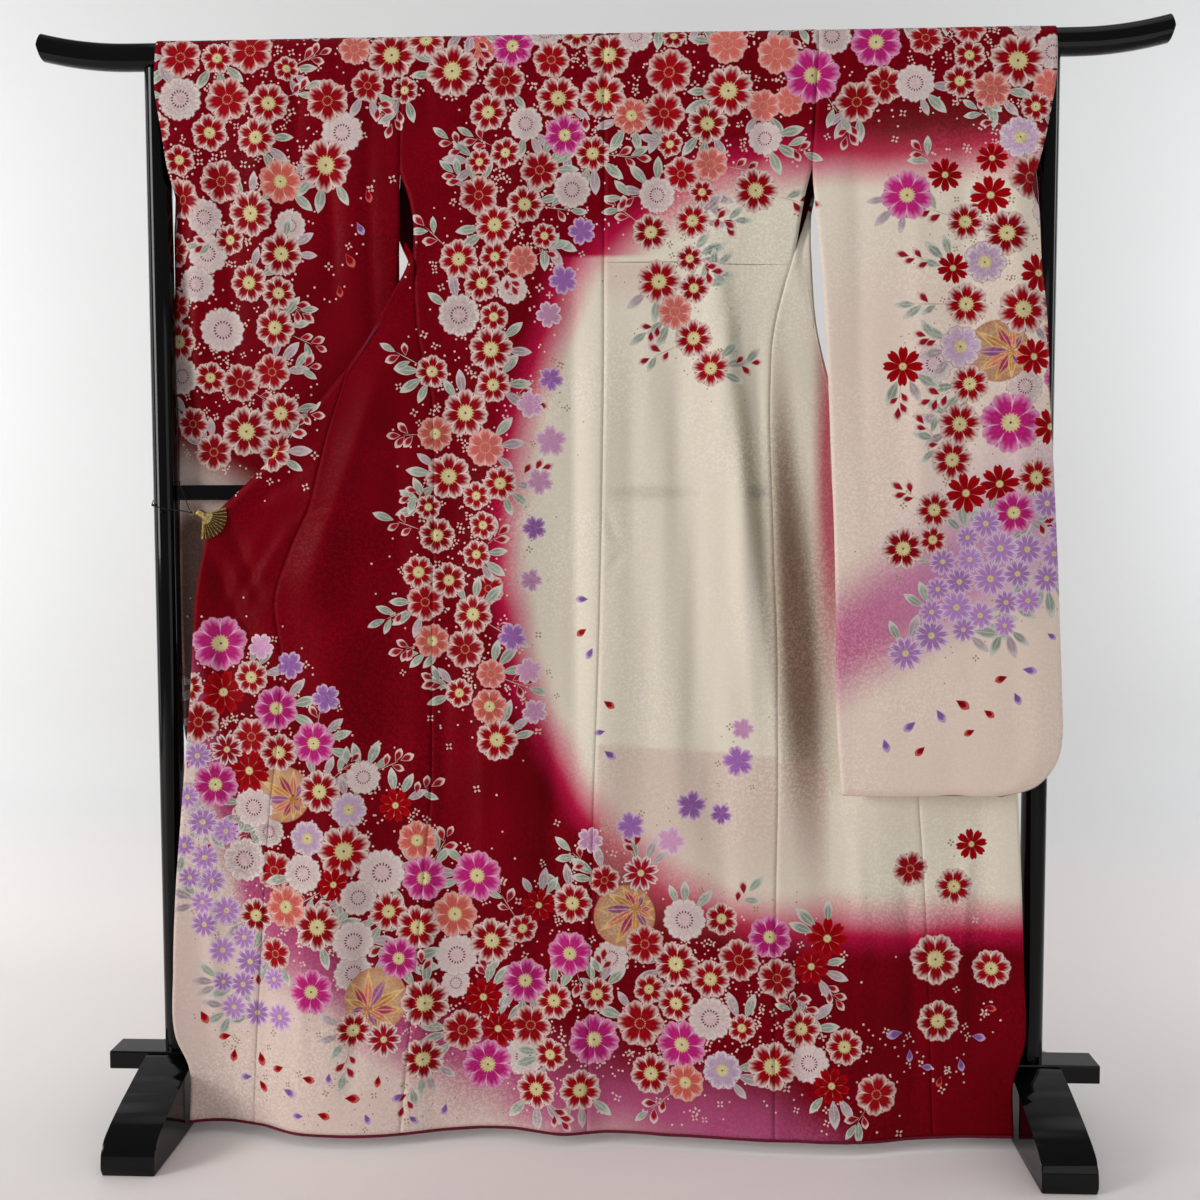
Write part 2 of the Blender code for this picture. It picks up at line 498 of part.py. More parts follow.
def wing_rows(okumi_column, edge_column, side_table, okumi_table, edge_table):
    """For each wing row, its points on the side seam, the overlap seam and the free edge, as X and Z."""
    rows = []
    for row in WING_ROWS:
        okumi_z, edge_z = getattr(row, okumi_column), getattr(row, edge_column)
        rows.append((
            (level(side_table, row.side), row.side),
            (level(okumi_table, okumi_z), okumi_z),
            (level(edge_table, edge_z), edge_z),
        ))
    return rows


def spread_row(start, end, cells):
    """A row of the spread front between two of its seams, as X and Z."""
    row = []
    for k in range(cells + 1):
        t = k / cells
        x, z = start[0] + (end[0] - start[0]) * t, start[1] + (end[1] - start[1]) * t
        row.append((x, drape(x, z), z))
    return row


def front_panel(name, top_sections, wings):
    """One front, from the shoulder behind the bar to the hem, spread out before the stand."""
    places = [k / FRONT_CELLS for k in range(FRONT_CELLS + 1)]
    rows = [[eased(SECTION_PLACES, section, t) for t in places] for section in top_sections]
    rows += [spread_row(side, okumi, FRONT_CELLS) for side, okumi, _ in wings]
    rows = drawn_in(drawn_in(rows, 0), -1, len(top_sections))
    rows[len(top_sections)][0] += Vector((math.copysign(CROTCH_EASE, rows[-1][-1][0]), 0.0, 0.0))
    return thicken(name, surface(rows), WALL, SILK)


def okumi_panel(name, top_sections, wings):
    """The overlap panel, from its point on the collar to the hem."""
    places = [k / OKUMI_CELLS for k in range(OKUMI_CELLS + 1)]
    rows = [[eased(OKUMI_PLACES, section, t) for t in places] for section in top_sections]
    rows += [spread_row(okumi, edge, OKUMI_CELLS) for _, okumi, edge in wings]
    return thicken(name, surface(drawn_in(rows, 0, len(top_sections))), WALL, SILK)


def layer_row(table, z):
    """A sleeve layer's row of points at a height, with the rounded outer corner at the bottom."""
    rows = table[::-1]
    inner_x, inner_y, outer_x, outer_y = eased([r.z for r in rows], [r[1:] for r in rows], z)
    above = z - SLEEVE_BOTTOM
    if above < SLEEVE_CORNER:
        pull = SLEEVE_CORNER - math.sqrt(SLEEVE_CORNER**2 - (SLEEVE_CORNER - above) ** 2)
        outer_x -= math.copysign(pull, outer_x)
    return [
        Vector((inner_x + (outer_x - inner_x) * t, inner_y + (outer_y - inner_y) * t, z))
        for t in (k / SLEEVE_CELLS for k in range(SLEEVE_CELLS + 1))
    ]


def sleeve(name, near_table, far_table, closed_below):
    """A sleeve: one cloth folded over the bar, closed at its bottom and at its outer edge below the hand opening."""
    low = (closed_below,) + SLEEVE_LOW_ROWS + tuple(SLEEVE_BOTTOM + up for up in SLEEVE_CORNER_ROWS)
    near = [layer_row(near_table, z) for z in ARM_ROWS + low]
    far = [layer_row(far_table, z) for z in SLEEVE_FAR_ROWS + low]

    # The two layers meet along the closed outer edge and along the bottom
    for near_row, far_row in zip(near[-len(low):], far[-len(low):]):
        bottom = near_row is near[-1]
        for column in range(len(near_row)) if bottom else (-1,):
            middle = (near_row[column] + far_row[column]) / 2
            near_row[column], far_row[column] = middle, middle.copy()
    arcs = []
    for step in range(BAR_ARC_STEPS + 1):
        depth, z = over_bar(step)
        arcs.append([Vector((p.x, depth, z)) for p in layer_row(near_table, BAR_Z)])
    return thicken(name, surface(drawn_in(near[::-1] + arcs + far, 0)), WALL, SILK)


def collar_rows(bands, lift):
    rows = []
    for band in bands:
        sewn, free = Vector(band.sewn), Vector(band.free)
        start = COLLAR_SEAM / (free - sewn).length
        rows.append([sewn.lerp(free, start + (1 - start) * k / COLLAR_CELLS) for k in range(COLLAR_CELLS + 1)])
    mesh = surface(rows)
    if lift:
        mesh.normal_update()
        away = 1.0 if sum((f.normal.y for f in mesh.faces)) > 0 else -1.0
        for vert in mesh.verts:
            vert.co += vert.normal * lift * away
    return mesh


def hem_roll():
    """The lining's rolled edge, a thin band under the hem from one front edge to the other."""
    left = wing_rows("left_okumi", "left_edge", LEFT_SIDE, LEFT_OKUMI, LEFT_EDGE)[-1]
    right = wing_rows("right_okumi", "right_edge", RIGHT_SIDE, RIGHT_OKUMI, RIGHT_EDGE)[-1]
    start, end = left[2][0], right[2][0]
    count = 60
    top = HEM_Z - 0.0004
    mesh = bmesh.new()
    rings = []
    for k in range(count + 1):
        x = start + (end - start) * k / count
        y = drape(x, HEM_Z)
        rings.append([
            mesh.verts.new((x, y + dy, top + dz))
            for dy, dz in (
                (-HEM_ROLL_DEPTH / 2, 0.0), (HEM_ROLL_DEPTH / 2, 0.0),
                (HEM_ROLL_DEPTH / 2, -HEM_ROLL_HEIGHT * 0.7), (0.0, -HEM_ROLL_HEIGHT),
                (-HEM_ROLL_DEPTH / 2, -HEM_ROLL_HEIGHT * 0.7),
            )
        ])
    join_rings(mesh, rings)
    return finish_solid("hem_roll", mesh, LINING)


def join_rings(mesh, rings):
    for a, b in zip(rings, rings[1:]):
        for k in range(len(a)):
            n = (k + 1) % len(a)
            mesh.faces.new((a[k], a[n], b[n], b[k]))
    mesh.faces.new(rings[0])
    mesh.faces.new(rings[-1])


def finish_solid(name, mesh, finish):
    bmesh.ops.recalc_face_normals(mesh, faces=mesh.faces)
    data = bpy.data.meshes.new(name)
    mesh.to_mesh(data)
    mesh.free()
    return add_object(name, data, finish)


def top_bar():
    """The bar the kimono hangs on, with both tips turned up."""
    sides = 20
    places = [-BAR_REACH, -0.815, -0.79, -0.76, -0.73, -BAR_BEND_START]
    places += [-x for x in reversed(places)]
    mesh = bmesh.new()
    rings = []
    for x in places:
        bend = max(abs(x) - BAR_BEND_START, 0.0) / (BAR_REACH - BAR_BEND_START)
        lift, slope = BAR_TIP_RISE * bend**2, 2 * BAR_TIP_RISE * bend / (BAR_REACH - BAR_BEND_START)
        ring = []
        for k in range(sides):
            y, z = bar_section(2 * math.pi * k / sides, 0.0)
            ring.append(mesh.verts.new((x - math.copysign(slope * z, x), y, BAR_Z + lift + z)))
        rings.append(ring)
    join_rings(mesh, rings)
    return finish_solid("top_bar", mesh, LACQUER)


def post(name, x):
    bottom, top = BEAM_TOP + JOINT_GAP, BAR_Z - BAR_HALF_HEIGHT - JOINT_GAP
    mesh = bmesh.new()
    bmesh.ops.create_cone(
        mesh, cap_ends=True, segments=24, radius1=POST_RADIUS, radius2=POST_RADIUS, depth=top - bottom
    )
    obj = finish_solid(name, mesh, LACQUER)
    obj.location = (x, 0.0, (top + bottom) / 2)
    return obj


def box_bar(name, half_length, half_depth, low, high, bevel):
    mesh = bmesh.new()
    bmesh.ops.create_cube(mesh, size=2.0)
    for vert in mesh.verts:
        vert.co.x *= half_length
        vert.co.y *= half_depth
        vert.co.z = low if vert.co.z < 0 else high
    obj = finish_solid(name, mesh, LACQUER)
    edge = obj.modifiers.new("edge", "BEVEL")
    edge.width = bevel
    edge.segments = 2
    return obj


def foot(name, x):
    """A foot that runs front to back, high in the middle with a slot for the beam, and arched underneath."""
    top_line = [
        (BEAM_HALF_DEPTH + JOINT_GAP, 0.1050), (0.058, 0.0965), (0.100, 0.0830), (0.143, 0.0680), (0.179, 0.0520),
        (0.194, 0.0400), (0.1995, 0.0260), (FOOT_REACH, 0.0050), (0.1985, 0.0),
    ]
    slot = [(BEAM_HALF_DEPTH + JOINT_GAP, BEAM_BOTTOM - JOINT_GAP)]
    arch = [(FOOT_ARCH_REACH, 0.0), (FOOT_ARCH_REACH * 0.8, FOOT_ARCH), (0.0, FOOT_ARCH)]
    right = slot + top_line + arch
    outline = right + [(-y, z) for y, z in reversed(right[:-1])]
    mesh = bmesh.new()
    near = [mesh.verts.new((-FOOT_HALF_WIDTH, y, z)) for y, z in outline]
    far = [mesh.verts.new((FOOT_HALF_WIDTH, y, z)) for y, z in outline]
    for k in range(len(outline)):
        n = (k + 1) % len(outline)
        mesh.faces.new((near[k], near[n], far[n], far[k]))
    mesh.faces.new(near)
    mesh.faces.new(far)
    obj = finish_solid(name, mesh, LACQUER)
    obj.location.x = x
    return obj


def clip_fan():
    """A small folding fan with radial pleats."""
    steps = FAN_PLEATS * 2
    radii = [FAN_HUB_RADIUS, 0.014, FAN_RADIUS * 0.98, FAN_RADIUS]
    rows = []
    for radius in radii:
        row = []
        for k in range(steps + 1):
            angle = math.radians(FAN_START_DEG + FAN_SWEEP_DEG * k / steps)
            rise = FAN_PLEAT_HEIGHT * (1 if k % 2 else -1) * min(radius / 0.014, 1.0)
            row.append((
                FAN_PIVOT[0] + radius * math.cos(angle), FAN_PIVOT[1] + rise * 0.5,
                FAN_PIVOT[2] + radius * math.sin(angle),
            ))
        rows.append(row)
    return thicken("clip_fan", surface(rows), FAN_WALL, GOLD)


def clip_jaw():
    """The clip's spring: a folded plate round the cloth's edge, with a jaw behind the cloth."""
    x, _, z = FAN_PIVOT
    line = [
        (x + 0.0135, JAW_FRONT_Y, z - 0.0135), (x - 0.008, JAW_FRONT_Y, z + 0.004),
        (x - 0.0118, JAW_FRONT_Y + 0.004, z + 0.005), (x - 0.0118, JAW_BACK_Y - 0.004, z + 0.005),
        (x - 0.008, JAW_BACK_Y, z + 0.004), (x + 0.0220, JAW_BACK_TIP_Y, z - 0.0130),
    ]
    rows = []
    for px, py, pz in line:
        rows.append([(px - 0.0035, py, pz - 0.0060), (px + 0.0035, py, pz + 0.0060)])
    return thicken("clip_jaw", surface(rows), JAW_WALL, GOLD)


def clip_ring():
    mesh = bpy.data.meshes.new("clip_ring")
    work = bmesh.new()
    turns, sides = 20, 6
    rings = []
    for k in range(turns):
        angle = 2 * math.pi * k / turns
        ring = []
        for j in range(sides):
            around = 2 * math.pi * j / sides
            reach = RING_RADIUS + RING_WIRE * math.cos(around)
            ring.append(work.verts.new((
                RING_CENTRE[0] + reach * math.cos(angle), RING_CENTRE[1] + RING_WIRE * math.sin(around),
                RING_CENTRE[2] + reach * math.sin(angle),
            )))
        rings.append(ring)
    for k in range(turns):
        a, b = rings[k], rings[(k + 1) % turns]
        for j in range(sides):
            n = (j + 1) % sides
            work.faces.new((a[j], a[n], b[n], b[j]))
    bmesh.ops.recalc_face_normals(work, faces=work.faces)
    work.to_mesh(mesh)
    work.free()
    return add_object("clip_ring", mesh, GOLD)


def clip_thread():
    """The elastic thread, one closed loop from the clip's ring round the post and back."""
    points = [Vector(p) for p in THREAD_ROUTE]
    count = len(points)
    line = []
    for k in range(count):
        before, a, b, after = (points[(k + j) % count] for j in (-1, 0, 1, 2))
        for step in range(THREAD_STEPS):
            u = step / THREAD_STEPS
            line.append(0.5 * (
                2 * a + (b - before) * u + (2 * before - 5 * a + 4 * b - after) * u**2
                + (3 * a - before - 3 * b + after) * u**3
            ))
    curve = bpy.data.curves.new("clip_thread", "CURVE")
    curve.dimensions = "3D"
    curve.bevel_depth = THREAD_RADIUS
    curve.bevel_resolution = 1
    spline = curve.splines.new("POLY")
    spline.points.add(len(line) - 1)
    for point, place in zip(spline.points, line):
        point.co = (*place, 1.0)
    spline.use_cyclic_u = True
    curve.materials.append(material(THREAD))
    obj = bpy.data.objects.new("clip_thread", curve)
    bpy.context.scene.collection.objects.link(obj)
    return obj


def main():
    for obj in list(bpy.data.objects):
        bpy.data.objects.remove(obj)

    # Stand
    top_bar()
    post("post_left", -POST_X)
    post("post_right", POST_X)
    inner_half = POST_X - POST_RADIUS - JOINT_GAP
    box_bar(
        "crossbar", inner_half, CROSSBAR_HALF_DEPTH, CROSSBAR_Z - CROSSBAR_HALF_HEIGHT,
        CROSSBAR_Z + CROSSBAR_HALF_HEIGHT, 0.002,
    )
    box_bar("base_beam", BEAM_REACH, BEAM_HALF_DEPTH, BEAM_BOTTOM, BEAM_TOP, 0.002)
    foot("foot_left", -POST_X)
    foot("foot_right", POST_X)

    # Body
    back_panel("back_left", LEFT_SIDE, LEFT_TOP[0].armhole[0])
    back_panel("back_right", RIGHT_SIDE, RIGHT_TOP[0].armhole[0])
    left = wing_rows("left_okumi", "left_edge", LEFT_SIDE, LEFT_OKUMI, LEFT_EDGE)
    right = wing_rows("right_okumi", "right_edge", RIGHT_SIDE, RIGHT_OKUMI, RIGHT_EDGE)
    front_panel("front_left", LEFT_TOP, left)
    front_panel("front_right", RIGHT_TOP, right)
    okumi_panel("okumi_left", LEFT_OKUMI_TOP, left)
    okumi_panel("okumi_right", RIGHT_OKUMI_TOP, right)
    hem_roll()

    # Sleeves
    sleeve("sleeve_left", LEFT_SLEEVE_NEAR, LEFT_SLEEVE_FAR, CLOSED_BELOW_LEFT)
    sleeve("sleeve_right", RIGHT_SLEEVE_NEAR, RIGHT_SLEEVE_FAR, CLOSED_BELOW_RIGHT)

    # Collar, in two halves that meet at the middle of the back neck, with the over-collar on it
    thicken("collar_left", collar_rows(LEFT_COLLAR, 0.0), COLLAR_WALL, SILK)
    thicken("collar_right", collar_rows(RIGHT_COLLAR, 0.0), COLLAR_WALL, SILK)
    around = LEFT_COLLAR[:OVER_COLLAR_ROWS][::-1] + RIGHT_COLLAR[1:OVER_COLLAR_ROWS]
    thicken("over_collar", collar_rows(around, OVER_COLLAR_OFFSET), OVER_COLLAR_WALL, SILK)

    # Clip on the left post
    clip_fan()
    clip_jaw()
    clip_ring()
    clip_thread()


main()
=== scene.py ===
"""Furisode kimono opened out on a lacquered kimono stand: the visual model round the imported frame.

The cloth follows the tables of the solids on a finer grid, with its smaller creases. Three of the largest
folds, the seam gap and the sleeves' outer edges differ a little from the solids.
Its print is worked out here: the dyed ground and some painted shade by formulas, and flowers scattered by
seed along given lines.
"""

import math
import random
from collections import namedtuple

import bmesh
import bpy
import numpy as np
from mathutils import Euler, Matrix, Vector

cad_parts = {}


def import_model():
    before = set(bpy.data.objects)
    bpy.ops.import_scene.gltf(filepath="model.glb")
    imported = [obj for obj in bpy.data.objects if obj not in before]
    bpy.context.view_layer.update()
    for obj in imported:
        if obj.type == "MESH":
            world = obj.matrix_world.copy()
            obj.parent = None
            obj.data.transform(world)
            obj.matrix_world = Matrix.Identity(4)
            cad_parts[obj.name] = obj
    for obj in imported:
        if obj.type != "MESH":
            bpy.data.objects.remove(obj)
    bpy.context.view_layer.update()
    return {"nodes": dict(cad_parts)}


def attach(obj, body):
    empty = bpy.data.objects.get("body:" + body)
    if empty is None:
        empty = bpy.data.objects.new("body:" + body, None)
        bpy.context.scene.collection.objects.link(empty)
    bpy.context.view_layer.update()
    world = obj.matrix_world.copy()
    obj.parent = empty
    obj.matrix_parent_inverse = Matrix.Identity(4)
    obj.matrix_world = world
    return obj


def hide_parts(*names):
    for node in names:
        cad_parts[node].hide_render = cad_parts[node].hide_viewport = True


# Sizes of the bar that the cloth hangs on
BAR_Z = 1.6255
BAR_HALF_HEIGHT = 0.0200
BAR_HALF_DEPTH = 0.0160
BAR_SQUARENESS = 0.85

# Cloth sizes
SEAM_GAP = 0.0001
OVER_BAR_GAP = 0.0017
BAR_ARC_STEPS = 8
CENTRE_X = 0.013
NECK_HALF_WIDTH = 0.093
NECK_DROP = 0.020
SHOULDER_Z = 1.598
SHOULDER_Y = 0.0206
HEM_Z = 0.022
COLLAR_SEAM = 0.0018
SLEEVE_BOTTOM = 0.527
SLEEVE_CORNER = 0.085

# Cells across each kind of piece
BACK_CELLS = 11
FRONT_CELLS = 10
OKUMI_CELLS = 5
SLEEVE_CELLS = 9
COLLAR_CELLS = 3

# Middle of the back, from the bar down: how far before the bar it hangs
Level = namedtuple("Level", "z value")
HANG = [
    Level(1.6255, -0.0177), Level(1.57, -0.0215), Level(1.51, -0.0260), Level(1.445, -0.0295),
    Level(1.32, -0.0330), Level(1.20, -0.0350), Level(0.97, -0.0390), Level(0.80, -0.0440),
    Level(0.60, -0.0520), Level(0.40, -0.0630), Level(0.20, -0.0750), Level(0.02, -0.0870),
]
# The right front hangs nearer the post, because the right sleeve hangs before it
HANG_RIGHT = [
    Level(1.6255, -0.0177), Level(1.32, -0.0330), Level(1.10, -0.0340), Level(0.90, -0.0340),
    Level(0.70, -0.0380), Level(0.53, -0.0440), Level(0.40, -0.0540), Level(0.20, -0.0690),
    Level(0.02, -0.0870),
]
RIGHT_BLEND = (0.27, 0.34)
# How far the hem swings back (+) or forward (-) at each place along it
Swing = namedtuple("Swing", "x value")
HEM_SWING = [
    Swing(-0.64, 0.010), Swing(-0.58, 0.026), Swing(-0.51, 0.012), Swing(-0.44, -0.018),
    Swing(-0.35, -0.022), Swing(-0.29, -0.012), Swing(-0.20, 0.012), Swing(-0.13, 0.016),
    Swing(-0.05, -0.004), Swing(0.02, 0.008), Swing(0.13, 0.000), Swing(0.26, -0.012),
    Swing(0.39, -0.012), Swing(0.50, 0.008), Swing(0.64, 0.014),
]
HEM_SWING_TOP = 0.62
# The largest folds: a soft line from a top point to a bottom point, its half width, and its depth away from
# the viewer
Fold = namedtuple("Fold", "x_top z_top x_bottom z_bottom width depth")
FOLDS = [
    Fold(-0.215, 1.25, -0.225, 0.30, 0.040, 0.0080),
    Fold(-0.140, 1.30, -0.130, 0.15, 0.034, -0.0060),
    Fold(-0.070, 1.20, -0.055, 0.10, 0.032, 0.0070),
    Fold(0.060, 1.30, 0.075, 0.20, 0.036, 0.0075),
    Fold(0.110, 1.25, 0.172, 0.45, 0.028, 0.0140),
    Fold(0.176, 1.32, 0.240, 0.70, 0.025, -0.0125),
    Fold(0.293, 1.08, 0.338, 0.50, 0.029, 0.0125),
    Fold(-0.290, 1.02, -0.330, 0.10, 0.038, 0.0080),
    Fold(-0.395, 0.90, -0.400, 0.10, 0.034, -0.0070),
    Fold(-0.560, 0.88, -0.530, 0.30, 0.026, 0.0080),
    Fold(-0.540, 0.92, -0.300, 0.80, 0.026, 0.0060),
    Fold(0.420, 0.90, 0.425, 0.10, 0.034, -0.0060),
    Fold(0.560, 0.85, 0.565, 0.15, 0.032, 0.0070),
]

# Side seams and centre seam of the back, from the bar down
LEFT_SIDE = [
    Level(1.6255, -0.2865), Level(1.57, -0.2875), Level(1.51, -0.2885), Level(1.445, -0.2895),
    Level(1.41, -0.2770), Level(1.37, -0.2690), Level(1.32, -0.2700), Level(1.20, -0.2630),
    Level(1.10, -0.2430), Level(0.80, -0.2450), Level(0.51, -0.2480), Level(0.42, -0.2560),
    Level(0.20, -0.2740), Level(0.02, -0.2900),
]
CENTRE_SEAM = [
    Level(1.6455, 0.013), Level(1.31, 0.013), Level(1.10, 0.012), Level(0.74, 0.005), Level(0.51, -0.003),
    Level(0.02, -0.013),
]
RIGHT_SIDE = [
    Level(1.6255, 0.3265), Level(1.57, 0.3235), Level(1.51, 0.3205), Level(1.445, 0.3170),
    Level(1.41, 0.3080), Level(1.37, 0.3005), Level(1.32, 0.2920), Level(1.22, 0.2640),
    Level(1.10, 0.2570), Level(0.92, 0.2610), Level(0.73, 0.2670), Level(0.51, 0.2700),
    Level(0.34, 0.2660), Level(0.02, 0.2640),
]
# Overlap seams and free front edges of the spread fronts
LEFT_OKUMI = [
    Level(1.163, -0.366), Level(1.148, -0.371), Level(1.131, -0.3765), Level(1.058, -0.401),
    Level(0.921, -0.440), Level(0.860, -0.478), Level(0.80, -0.482), Level(0.69, -0.472),
    Level(0.447, -0.495), Level(0.247, -0.509), Level(0.02, -0.519),
]
LEFT_EDGE = [
    Level(0.928, -0.583), Level(0.902, -0.587), Level(0.82, -0.602), Level(0.75, -0.607),
    Level(0.66, -0.612), Level(0.50, -0.625), Level(0.355, -0.636), Level(0.231, -0.640),
    Level(0.150, -0.637), Level(0.125, -0.6290), Level(0.100, -0.6180), Level(0.02, -0.6172),
]
RIGHT_OKUMI = [
    Level(1.105, 0.348), Level(1.09, 0.3515), Level(1.073, 0.3525), Level(1.045, 0.356), Level(0.968, 0.379),
    Level(0.865, 0.420), Level(0.71, 0.458), Level(0.52, 0.478), Level(0.33, 0.490), Level(0.02, 0.498),
]
RIGHT_EDGE = [
    Level(0.928, 0.592), Level(0.85, 0.604), Level(0.70, 0.616), Level(0.52, 0.624), Level(0.25, 0.634),
    Level(0.150, 0.634), Level(0.125, 0.6280), Level(0.100, 0.6180), Level(0.02, 0.6172),
]

# Heights of the rows. The back and the sleeves share ARM_ROWS at their seam, and the back and the fronts
# share the rows' side heights.
ARM_ROWS = (1.57, 1.51, 1.445)
GAP_ROWS = (1.41, 1.365)
Row = namedtuple("Row", "side left_okumi left_edge right_okumi right_edge")
WING_ROWS = [
    Row(1.320, 1.131, 0.906, 1.073, 0.906),
    Row(1.270, 1.100, 0.880, 1.045, 0.880),
    Row(1.200, 1.058, 0.850, 1.010, 0.850),
    Row(1.120, 1.010, 0.815, 0.968, 0.815),
    Row(1.040, 0.955, 0.780, 0.922, 0.780),
    Row(0.950, 0.890, 0.735, 0.865, 0.735),
    Row(0.860, 0.815, 0.680, 0.795, 0.680),
    Row(0.760, 0.730, 0.615, 0.710, 0.615),
    Row(0.640, 0.615, 0.535, 0.605, 0.535),
    Row(0.520, 0.500, 0.450, 0.493, 0.450),
    Row(0.400, 0.385, 0.355, 0.382, 0.355),
    Row(0.280, 0.270, 0.255, 0.269, 0.255),
    Row(0.160, 0.155, 0.150, 0.155, 0.150),
    Row(0.085, 0.086, 0.098, 0.086, 0.098),
    Row(HEM_Z, HEM_Z, HEM_Z, HEM_Z, HEM_Z),
]

# Upper sections of the fronts, from the shoulder behind the bar, through the armhole slit and over the
# slanting top fold. Each holds points across the cloth, from the armhole edge to the collar or overlap seam.
Section = namedtuple("Section", "armhole band crook middle seam")
SECTION_PLACES = (0.0, 0.12, 0.25, 0.6, 1.0)
LEFT_TOP = [
    Section((-0.2865, 0.0206, 1.5977), (-0.262, 0.0206, 1.5977), (-0.235, 0.0206, 1.5977),
            (-0.162, 0.0206, 1.5977), (-0.080, 0.0206, 1.5977)),
    Section((-0.2960, 0.0310, 1.500), (-0.272, 0.0315, 1.500), (-0.246, 0.0320, 1.500),
            (-0.177, 0.0325, 1.500), (-0.098, 0.0330, 1.500)),
    Section((-0.3020, 0.0320, 1.420), (-0.281, 0.0325, 1.416), (-0.258, 0.0330, 1.412),
            (-0.200, 0.0335, 1.406), (-0.135, 0.0340, 1.400)),
    Section((-0.3025, 0.0280, 1.395), (-0.286, 0.0270, 1.378), (-0.267, 0.0260, 1.362),
            (-0.225, 0.0270, 1.338), (-0.175, 0.0270, 1.310)),
    Section((-0.3020, 0.0225, 1.382), (-0.292, 0.0170, 1.352), (-0.272, 0.0100, 1.322),
            (-0.258, 0.0060, 1.280), (-0.232, 0.0040, 1.235)),
    Section((-0.3005, 0.0150, 1.373), (-0.294, 0.0060, 1.341), (-0.271, -0.0160, 1.293),
            (-0.300, -0.0215, 1.236), (-0.357, -0.0215, 1.158)),
    Section((-0.2970, 0.0070, 1.364), (-0.290, -0.0040, 1.334), (-0.274, -0.0270, 1.295),
            (-0.312, -0.0310, 1.238), (-0.366, -0.0310, 1.163)),
    Section((-0.2830, -0.0120, 1.341), (-0.279, -0.0190, 1.318), (-0.2755, -0.0300, 1.288),
            (-0.315, -0.0350, 1.226), (-0.371, -0.0360, 1.148)),
]
RIGHT_TOP = [
    Section((0.3235, 0.0206, 1.5977), (0.298, 0.0206, 1.5977), (0.270, 0.0206, 1.5977),
            (0.194, 0.0206, 1.5977), (0.106, 0.0206, 1.5977)),
    Section((0.3260, 0.0310, 1.500), (0.302, 0.0315, 1.500), (0.277, 0.0320, 1.500),
            (0.207, 0.0325, 1.500), (0.124, 0.0330, 1.500)),
    Section((0.3285, 0.0320, 1.430), (0.308, 0.0325, 1.424), (0.286, 0.0330, 1.418),
            (0.228, 0.0335, 1.410), (0.160, 0.0340, 1.400)),
    Section((0.3280, 0.0270, 1.418), (0.312, 0.0260, 1.395), (0.294, 0.0260, 1.372),
            (0.252, 0.0270, 1.343), (0.200, 0.0270, 1.310)),
    Section((0.3262, 0.0190, 1.412), (0.318, 0.0150, 1.378), (0.304, 0.0100, 1.338),
            (0.281, 0.0060, 1.250), (0.250, 0.0040, 1.130)),
    Section((0.3235, 0.0080, 1.408), (0.317, -0.0020, 1.372), (0.3085, -0.0150, 1.330),
            (0.3135, -0.0215, 1.205), (0.340, -0.0215, 1.098)),
    Section((0.3205, -0.0030, 1.405), (0.3165, -0.0140, 1.370), (0.3150, -0.0250, 1.333),
            (0.3215, -0.0310, 1.213), (0.348, -0.0310, 1.105)),
    Section((0.3060, -0.0180, 1.362), (0.3070, -0.0245, 1.335), (0.3080, -0.0310, 1.305),
            (0.3235, -0.0350, 1.194), (0.3515, -0.0345, 1.090)),
]
# Top sections of the overlap panels, which start at a point on the collar and turn over the slanting fold
OkumiSection = namedtuple("OkumiSection", "seam middle edge")
OKUMI_PLACES = (0.0, 0.5, 1.0)
LEFT_OKUMI_TOP = [
    OkumiSection(LEFT_TOP[4].seam, (-0.2360, 0.0036, 1.2300), (-0.2400, 0.0032, 1.2250)),
    OkumiSection(LEFT_TOP[5].seam, (-0.4550, -0.0235, 1.0450), (-0.5600, -0.0265, 0.9250)),
    OkumiSection(LEFT_TOP[6].seam, (-0.4680, -0.0330, 1.0440), (-0.5830, -0.0345, 0.9280)),
    OkumiSection(LEFT_TOP[7].seam, (-0.4720, -0.0370, 1.0300), (-0.5850, -0.0385, 0.9180)),
]
RIGHT_OKUMI_TOP = [
    OkumiSection(RIGHT_TOP[4].seam, (0.2540, 0.0036, 1.1260), (0.2580, 0.0032, 1.1220)),
    OkumiSection(RIGHT_TOP[5].seam, (0.4520, -0.0225, 1.0000), (0.5700, -0.0250, 0.9180)),
    OkumiSection(RIGHT_TOP[6].seam, (0.4620, -0.0310, 1.0120), (0.5920, -0.0320, 0.9280)),
    OkumiSection(RIGHT_TOP[7].seam, (0.4640, -0.0345, 0.9980), (0.5935, -0.0350, 0.9170)),
]

# Sleeve layers: the layer before the bar and the layer behind it, each from the bar down
Layer = namedtuple("Layer", "z inner_x inner_y outer_x outer_y")
CLOSED_BELOW_LEFT = 1.42
CLOSED_BELOW_RIGHT = 1.43
LEFT_SLEEVE_NEAR = [
    Layer(1.6255, -0.2865, -0.0177, -0.6560, -0.0177), Layer(1.57, -0.2875, -0.0215, -0.6550, -0.0250),
    Layer(1.51, -0.2885, -0.0260, -0.6460, -0.0265), Layer(1.445, -0.2895, -0.0295, -0.6372, -0.0215),
    Layer(1.39, -0.2910, -0.0200, -0.6400, -0.0100), Layer(1.32, -0.2955, -0.0090, -0.6432, 0.0000),
    Layer(1.24, -0.3000, 0.0000, -0.6475, 0.0060), Layer(1.13, -0.3040, 0.0090, -0.6500, 0.0120),
    Layer(1.02, -0.3060, 0.0155, -0.6510, 0.0170), Layer(0.90, -0.3080, 0.0180, -0.6515, 0.0190),
    Layer(0.77, -0.3100, 0.0200, -0.6515, 0.0200), Layer(0.66, -0.3100, 0.0200, -0.6505, 0.0200),
    Layer(SLEEVE_BOTTOM, -0.3100, 0.0200, -0.6500, 0.0200),
]
